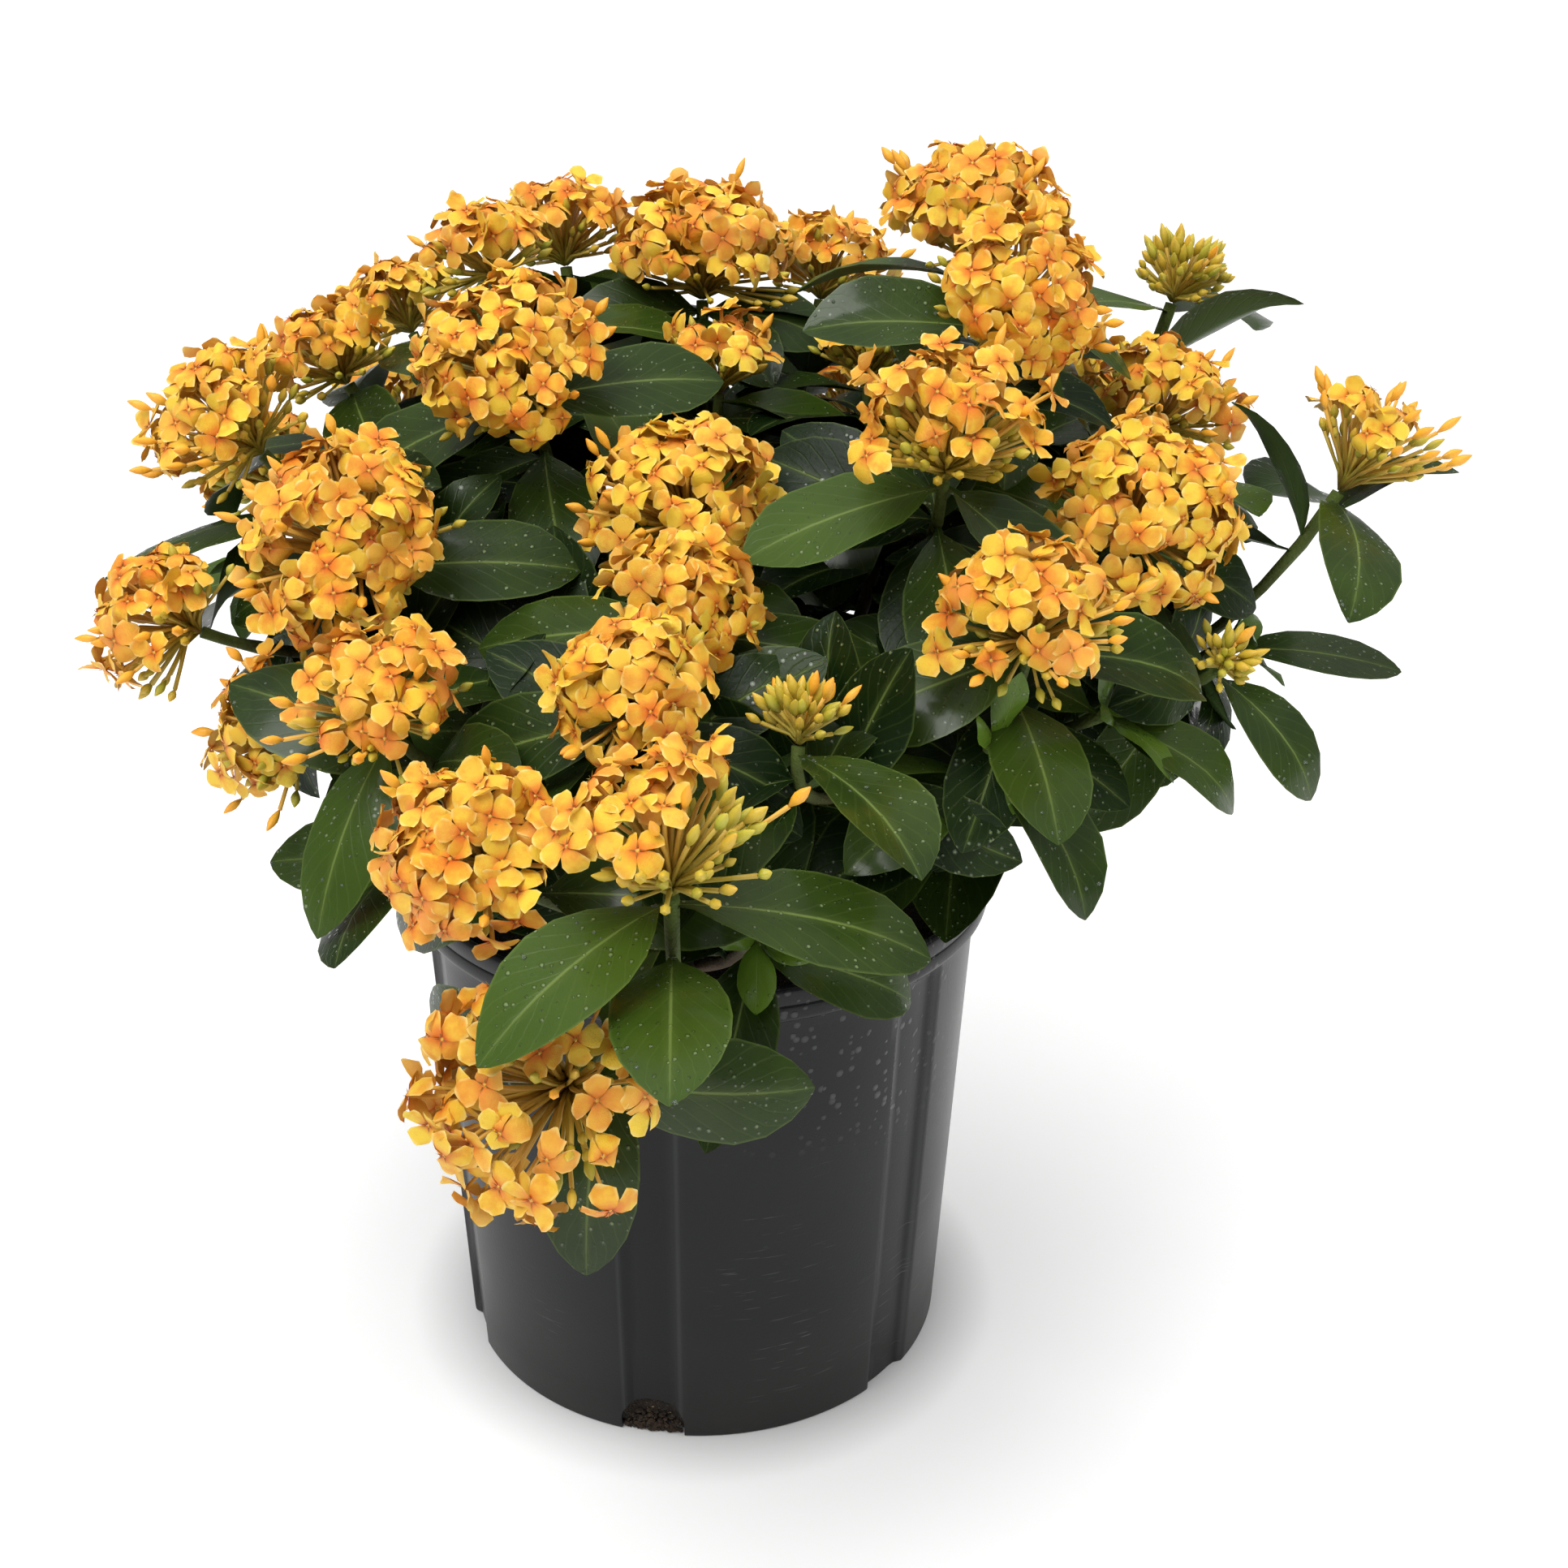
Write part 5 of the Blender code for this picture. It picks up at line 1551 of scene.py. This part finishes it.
def waterDrops():
    draw = random.Random(dropSettings["seed"])
    batch = newBatch()
    sizes = leafShape["sizes"]
    starts = np.concatenate(([0], np.cumsum(sizes)[:-1]))
    lower = [leafShape["side"][leafShape["loops"][start:start + 4]].max() > 0.5 for start in starts]
    upper = [face for face in range(len(sizes)) if not lower[face]]
    for places in draw.sample(allLeaves, min(dropSettings["leaves"], len(allLeaves))):
        for _ in range(dropSettings["perLeaf"]):
            face = draw.choice(upper)
            corners = places[leafShape["loops"][starts[face]:starts[face] + sizes[face]]]
            weights = np.array([draw.random() + 0.15 for _ in corners])
            middle = (corners * (weights / weights.sum())[:, None]).sum(axis=0)
            normal = np.cross(corners[1] - corners[0], corners[-1] - corners[0])
            if np.linalg.norm(normal) < 1e-9:
                continue
            normal = Vector(normal / np.linalg.norm(normal))
            if normal.z < dropSettings["steepest"]:
                continue
            turned = np.array(normal.to_track_quat("Z", "Y").to_matrix())
            low, high = dropSettings["size"]
            size = low + (high - low) * draw.random() ** 2.2
            bead = pebbleShape["co"] * (size * draw.uniform(0.8, 1.2), size, size * 0.55)
            addCopy(batch, pebbleShape, middle + bead @ turned.T)
    return pieceFrom("waterDrops", batch, (waterLook,), "leaf")


waterDrops()
print("water drops made")


def potDepth(angle):
    # how far the wall is set in at an angle, from 0 to 1
    p = potSettings
    pitch = 2 * math.pi / p["flutes"]
    off = abs((angle - p["fluteTurn"] + pitch / 2) % pitch - pitch / 2)
    share = (p["fluteArc"] / 2 - off) / (p["fluteArc"] * 0.12)
    share = min(1.0, max(0.0, share))
    return share * share * (3 - 2 * share)


def turnedPiece(name, profile, columns):
    # a closed turned shape: a filled circle drawn up ring by ring
    selectNone()
    radius, height = profile[0]
    bpy.ops.mesh.primitive_circle_add(vertices=columns, radius=radius, fill_type="NGON", location=(0, 0, 0))
    turned = bpy.context.object
    turned.name = name
    editAll(turned)
    bpy.ops.transform.translate(value=(0, 0, height))
    for (oldRadius, oldHeight), (radius, height) in zip(profile, profile[1:]):
        bpy.ops.mesh.extrude_region_move(TRANSFORM_OT_translate={"value": (0, 0, height - oldHeight)})
        factor = radius / oldRadius
        bpy.ops.transform.resize(value=(factor, factor, 1), center_override=(0, 0, height))
    bpy.ops.mesh.select_all(action="SELECT")
    bpy.ops.mesh.normals_make_consistent(inside=False)
    bpy.ops.object.mode_set(mode="OBJECT")
    return turned


def drainAngles():
    s = potSettings
    chosen = range(0, s["flutes"], s["drainEvery"])
    return [s["fluteTurn"] + 2 * math.pi * number / s["flutes"] for number in chosen]


def drainCutter(angle):
    # a round-topped block that goes through the foot of one flute
    p = potSettings
    selectNone()
    shoulder = p["drainHeight"] * p["drainShoulder"]
    half, depth = p["drainWidth"] / 2, p["drainDepth"] + 8 * mm
    bpy.ops.mesh.primitive_cylinder_add(vertices=40, radius=half, depth=depth, location=(0, 0, 0))
    cutter = bpy.context.object
    editAll(cutter)
    bpy.ops.transform.rotate(value=math.pi / 2, orient_axis="X", center_override=(0, 0, 0))
    squash = (p["drainHeight"] - shoulder) / half
    bpy.ops.transform.resize(value=(1, 1, squash), center_override=(0, 0, 0))
    bpy.ops.object.mode_set(mode="OBJECT")
    for vert in cutter.data.vertices:
        if vert.co.z < 1e-5:
            vert.co.z = -0.016 if vert.co.z < -1e-5 else 0
            vert.co.x = math.copysign(half, vert.co.x) if vert.co.z < -1e-5 else vert.co.x
        vert.co.z += shoulder
    middle = p["base"] - p["drainDepth"] / 2 + 4 * mm
    place = Matrix.Rotation(angle - math.pi / 2, 4, "Z") @ Matrix.Translation((0, middle, 0))
    cutter.data.transform(place)
    return cutter


def makePot():
    p = potSettings
    lipFoot = p["height"] - p["lipHeight"]
    base, wall = p["base"], p["wall"]
    wallAt = lambda height: base + (p["wallTop"] - base) * height / lipFoot
    profile = [(0.040, 0.6 * mm), (0.104, 0.6 * mm), (0.1105, 0.0), (base - 1.2 * mm, 0.0)]
    profile += [(base - 0.3 * mm, 0.4 * mm), (wallAt(1.6 * mm), 1.6 * mm)]
    profile += [(wallAt(height), height) for height in p["wallHeights"]]
    profile += [(wallAt(0.2305) + 0.3 * mm, 0.2305)]
    profile += [(p["lipRadius"] - inset * mm, height * mm) for inset, height in p["lipShape"]]
    profile += [(wallAt(height) - wall, height) for height in (0.236, 0.226, 0.12)]
    profile += [(base - wall - 0.5 * mm, 2.6 * mm), (base - wall - 1.8 * mm, wall), (0.02, wall)]
    made = turnedPiece("nurseryPot", profile, p["columns"])
    for vert in made.data.vertices:
        x, y, height = vert.co
        radius = math.hypot(x, y)
        if radius < p["roundBase"]:
            continue
        fade = min(1.0, max(0.0, (p["fluteTop"] - height) / p["fluteFade"]))
        inward = p["fluteDepth"] * potDepth(math.atan2(y, x)) * fade
        vert.co.x -= x / radius * inward
        vert.co.y -= y / radius * inward
    cutters = [drainCutter(angle) for angle in drainAngles()]
    bpy.context.view_layer.objects.active = made
    for cutter in cutters:
        hole = made.modifiers.new("drain", "BOOLEAN")
        hole.operation = "DIFFERENCE"
        hole.object = cutter
        hole.solver = "EXACT"
        bpy.ops.object.modifier_apply(modifier=hole.name)
    for cutter in cutters:
        bpy.data.objects.remove(cutter)
    made.data.materials.clear()
    made.data.materials.append(potLook)
    selectNone()
    made.select_set(True)
    bpy.context.view_layer.objects.active = made
    bpy.ops.object.shade_smooth_by_angle(angle=math.radians(38))
    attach(made, "root")
    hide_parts("pot")
    return made


makePot()
print("pot made")


def rough(x, y, z, scale):
    return noise.noise(Vector((x, y, z)) * scale) + 0.6 * noise.noise(Vector((x + 3, y, z)) * scale * 3.1)


def soilHeight(x, y):
    s = soilSettings
    edge = potSettings["wallTop"] * 0.98
    share = min(1.0, math.hypot(x, y) / edge)
    return s["top"] + s["crown"] * (1 - 2 * share**2.2) - 1.5 * mm


def makeSoil():
    s, p = soilSettings, potSettings
    lipFoot = p["height"] - p["lipHeight"]
    clear = p["wall"] + 0.6 * mm
    wallAt = lambda height: p["base"] + (p["wallTop"] - p["base"]) * height / lipFoot - clear
    profile = [(p["base"] - clear - 1.5 * mm, 2.3 * mm), (wallAt(0.004), 0.004)]
    profile += [(wallAt(height), height) for height in s["sideHeights"]]
    top = wallAt(0.222)
    for ring in range(s["rings"] + 1):
        radius = top * (1 - ring / (s["rings"] + 1))
        profile.append((radius, soilHeight(radius, 0)))
    made = turnedPiece("soilBody", profile, s["columns"])
    for vert in made.data.vertices:
        x, y, height = vert.co
        radius = math.hypot(x, y)
        bump = rough(x, y, height, s["footScale"] if height < 0.04 else s["topScale"])
        if height > 0.216:
            vert.co.z += bump * s["rough"]
            radius = min(radius, wallAt(min(vert.co.z, 0.23)) - 0.2 * mm) if radius > 0 else 0
            inward = p["fluteDepth"] * potDepth(math.atan2(y, x)) if radius > 0.11 else 0
        else:
            inward = 0
            if radius > 0.1:
                inward = p["fluteDepth"] * potDepth(math.atan2(y, x)) + abs(bump) * 1.6 * mm
        if radius > 0.1:
            here = math.hypot(x, y)
            vert.co.x = x / here * (radius - inward)
            vert.co.y = y / here * (radius - inward)
    made.data.materials.clear()
    made.data.materials.append(soilLook)
    tone = made.data.color_attributes.new("tone", "FLOAT_COLOR", "POINT")
    tone.data.foreach_set("color", np.tile((0.0, 0.0, 0.0, 1.0), len(made.data.vertices)).astype(np.float32))
    made.data.shade_smooth()
    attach(made, "root")
    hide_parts("soil")
    return made


def makeCrumbs():
    # crumbs, bark chips and pale grains on top of the soil
    s = soilSettings
    draw = random.Random(9)
    batch = newBatch()
    for number in range(s["crumbs"] + s["chips"]):
        angle = draw.uniform(0, 6.28)
        radius = s["crumbReach"] * math.sqrt(draw.random())
        x, y = radius * math.cos(angle), radius * math.sin(angle)
        size = draw.uniform(*s["crumbSize"]) * mm
        shape = Vector((draw.uniform(0.7, 1.5), draw.uniform(0.6, 1.1), draw.uniform(0.45, 0.8))) * size
        pale = 0.0
        bark = draw.uniform(0.0, 0.5)
        if number >= s["crumbs"]:
            shape = Vector((draw.uniform(2.2, 3.4), draw.uniform(1.0, 1.6), 0.5)) * size
            bark = draw.uniform(0.5, 1.0)
        elif draw.random() < s["paleShare"]:
            pale = draw.uniform(0.6, 1.0)
            shape *= 0.7
        turned = Matrix.Rotation(draw.uniform(0, 6.28), 3, "Z")
        turned = turned @ Matrix.Rotation(draw.uniform(-0.5, 0.5), 3, "X")
        dents = 1 + np.array([[draw.uniform(-s["dent"], s["dent"])] for _ in pebbleShape["co"]])
        places = pebbleShape["co"] * np.array(shape) * dents
        height = soilHeight(x, y)
        height += rough(x, y, height, s["topScale"]) * s["rough"]
        addCopy(batch, pebbleShape, places @ np.array(turned).T + (x, y, height), bark, pale)
    return pieceFrom("soilCrumbs", batch, (soilLook,), "soil")


# what shows in each drain hole, with the girth of the roots and the size of the crumbs in mm
drainSettings = {
    "roots": 4,
    "rootAngle": 0.095,
    "rootRadii": (0.1110, 0.1128),
    "rootHeights": (0.0035, 0.0155),
    "rootGirth": (0.35, 0.7),
    "crumbs": 120,
    "crumbSize": (0.7, 1.7),
    "pileHeight": 9.0 * mm,
    "pileFoot": 0.1165,
    "pileSlope": 0.30,
}


def makeRoots():
    # pale roots that show in the drain holes
    s = drainSettings
    draw = random.Random(12)
    batch = newBatch()
    for middle in drainAngles():
        for _ in range(s["roots"]):
            points = []
            for _ in range(4):
                angle = middle + draw.uniform(-s["rootAngle"], s["rootAngle"])
                radius = draw.uniform(*s["rootRadii"])
                height = draw.uniform(*s["rootHeights"])
                points.append(Vector((radius * math.cos(angle), radius * math.sin(angle), height)))
            girth = draw.uniform(*s["rootGirth"]) * mm
            places = strandAlong(rootShape, points, lambda share: girth * (1.2 - 0.6 * share))
            addCopy(batch, rootShape, places)
    return pieceFrom("drainRoots", batch, (rootLook,), "soil")


def makeDrainCrumbs():
    # potting mix that has settled in the drain holes, out to the wall
    s = drainSettings
    draw = random.Random(21)
    batch = newBatch()
    halfAngle = potSettings["drainWidth"] / 2 / potSettings["base"]
    for middle in drainAngles():
        for _ in range(s["crumbs"]):
            size = draw.uniform(*s["crumbSize"]) * mm
            share = draw.uniform(-0.95, 0.95)
            height = size * 0.8 + s["pileHeight"] * math.sqrt(1 - share * share) * draw.random() ** 1.6
            angle = middle + halfAngle * share
            radius = s["pileFoot"] - height * s["pileSlope"] - draw.random() * 1.2 * mm
            shape = np.array((draw.uniform(0.8, 1.3), draw.uniform(0.8, 1.2), draw.uniform(0.6, 0.9))) * size
            place = (radius * math.cos(angle), radius * math.sin(angle), height)
            addCopy(batch, pebbleShape, pebbleShape["co"] * shape + place, draw.uniform(0.0, 0.35))
    return pieceFrom("drainCrumbs", batch, (soilLook,), "soil")


makeSoil()
makeCrumbs()
makeRoots()
makeDrainCrumbs()
print("soil, crumbs and roots made")

studioSettings = {
    "floor": 60.0,
    "floorDrop": 0.2 * mm,
    "floorShade": 0.82,
    "floorGlow": (0.36, 0.68),
    "sky": (0.12, 0.74),
    "key": (21.0, (-0.55, -0.95, 1.75), 0.9, True),
    "fill": (5.0, (1.35, -0.55, 1.05), 0.9, False),
    "top": (12.0, (0.1, 0.35, 1.9), 1.2, False),
    "cameraPlace": (0.0, -0.88, 0.693),
    "fieldOfView": 41.0,
    "pitch": 25.0,
    "yaw": 2.5,
    "roll": 0.7,
}


def makeFloor():
    selectNone()
    s = studioSettings
    bpy.ops.mesh.primitive_plane_add(size=s["floor"], location=(0, 0, -s["floorDrop"]))
    floor = bpy.context.object
    floor.name = "floor"
    look, tree, shader = newLook("pale_floor", {"Metallic": 0.0, "Roughness": 0.9, "Specular IOR Level": 0.1,
                                                "Emission Strength": 1.0})
    where, _, _, _ = surfaceInputs(tree)
    cloud = placeGroup(mottle, where, Blotch_Scale=3.0, Grain_Scale=200.0)
    shade = s["floorShade"]
    colour = blend(cloud["Blotch"], (shade, shade, shade), (shade + 0.015, shade + 0.015, shade + 0.015))
    feed(shader, "Base Color", colour)
    # the floor glows more away from the plant, so that it meets the white backdrop without a line
    away = tree.nodes.new("ShaderNodeVectorMath")
    away.operation = "LENGTH"
    tree.links.new(where, away.inputs[0])
    near, far = s["floorGlow"]
    # no glow round the foot of the pot: a painted contact shadow, which also keeps the floor dark inside the
    # drain holes
    under = spread(away.outputs["Value"], 0.112, 0.150, 0.0, 1.0)
    glow = times(spread(away.outputs["Value"], 0.5, 3.0, near, far), under)
    feed(shader, "Emission Color", glow)
    floor.data.materials.append(look)


def areaLight(name, power, place, size, mirrored, aim=(0.0, 0.0, 0.3)):
    lamp = bpy.data.lights.new(name, "AREA")
    lamp.energy = power
    lamp.size = size
    made = bpy.data.objects.new(name, lamp)
    made.location = place
    made.rotation_euler = (Vector(aim) - Vector(place)).to_track_quat("-Z", "Y").to_euler()
    made.visible_glossy = mirrored
    bpy.context.scene.collection.objects.link(made)


def makeStudio():
    s = studioSettings
    makeFloor()
    for name in ("key", "fill", "top"):
        areaLight(name, *s[name])
    world = bpy.data.worlds.new("studio")
    bpy.context.scene.world = world
    world.use_nodes = True
    tree = world.node_tree
    backdrop = tree.nodes["Background"]
    backdrop.inputs["Strength"].default_value = 1.0
    rays = tree.nodes.new("ShaderNodeLightPath")
    coords = tree.nodes.new("ShaderNodeTexCoord")
    height = tree.nodes.new("ShaderNodeSeparateXYZ")
    tree.links.new(coords.outputs["Generated"], height.inputs[0])
    # the backdrop is seen white, and lights the plant softly from above
    low, high = s["sky"]
    sky = spread(height.outputs[2], 0.0, 1.0, low, high)
    colour = blend(rays.outputs["Is Camera Ray"], sky, (1.0, 1.0, 1.0))
    tree.links.new(colour, backdrop.inputs["Color"])
    bpy.context.scene.view_settings.view_transform = "Standard"


def makeCamera():
    s = studioSettings
    yaw, pitch, roll = (math.radians(s[key]) for key in ("yaw", "pitch", "roll"))
    ahead = Vector((math.sin(yaw) * math.cos(pitch), math.cos(yaw) * math.cos(pitch), -math.sin(pitch)))
    right = Vector((math.cos(yaw), -math.sin(yaw), 0))
    above = right.cross(ahead)
    rolledRight = right * math.cos(roll) + above * math.sin(roll)
    rolledAbove = -right * math.sin(roll) + above * math.cos(roll)
    place = Matrix((rolledRight, rolledAbove, -ahead)).transposed().to_4x4()
    place.translation = Vector(s["cameraPlace"])
    lens = bpy.data.cameras.new("camera")
    lens.sensor_width = 36
    lens.lens = 18 / math.tan(math.radians(s["fieldOfView"] / 2))
    camera = bpy.data.objects.new("camera", lens)
    camera.matrix_world = place
    bpy.context.scene.collection.objects.link(camera)
    bpy.context.scene.camera = camera


makeStudio()
makeCamera()
print("floor, light and camera made")
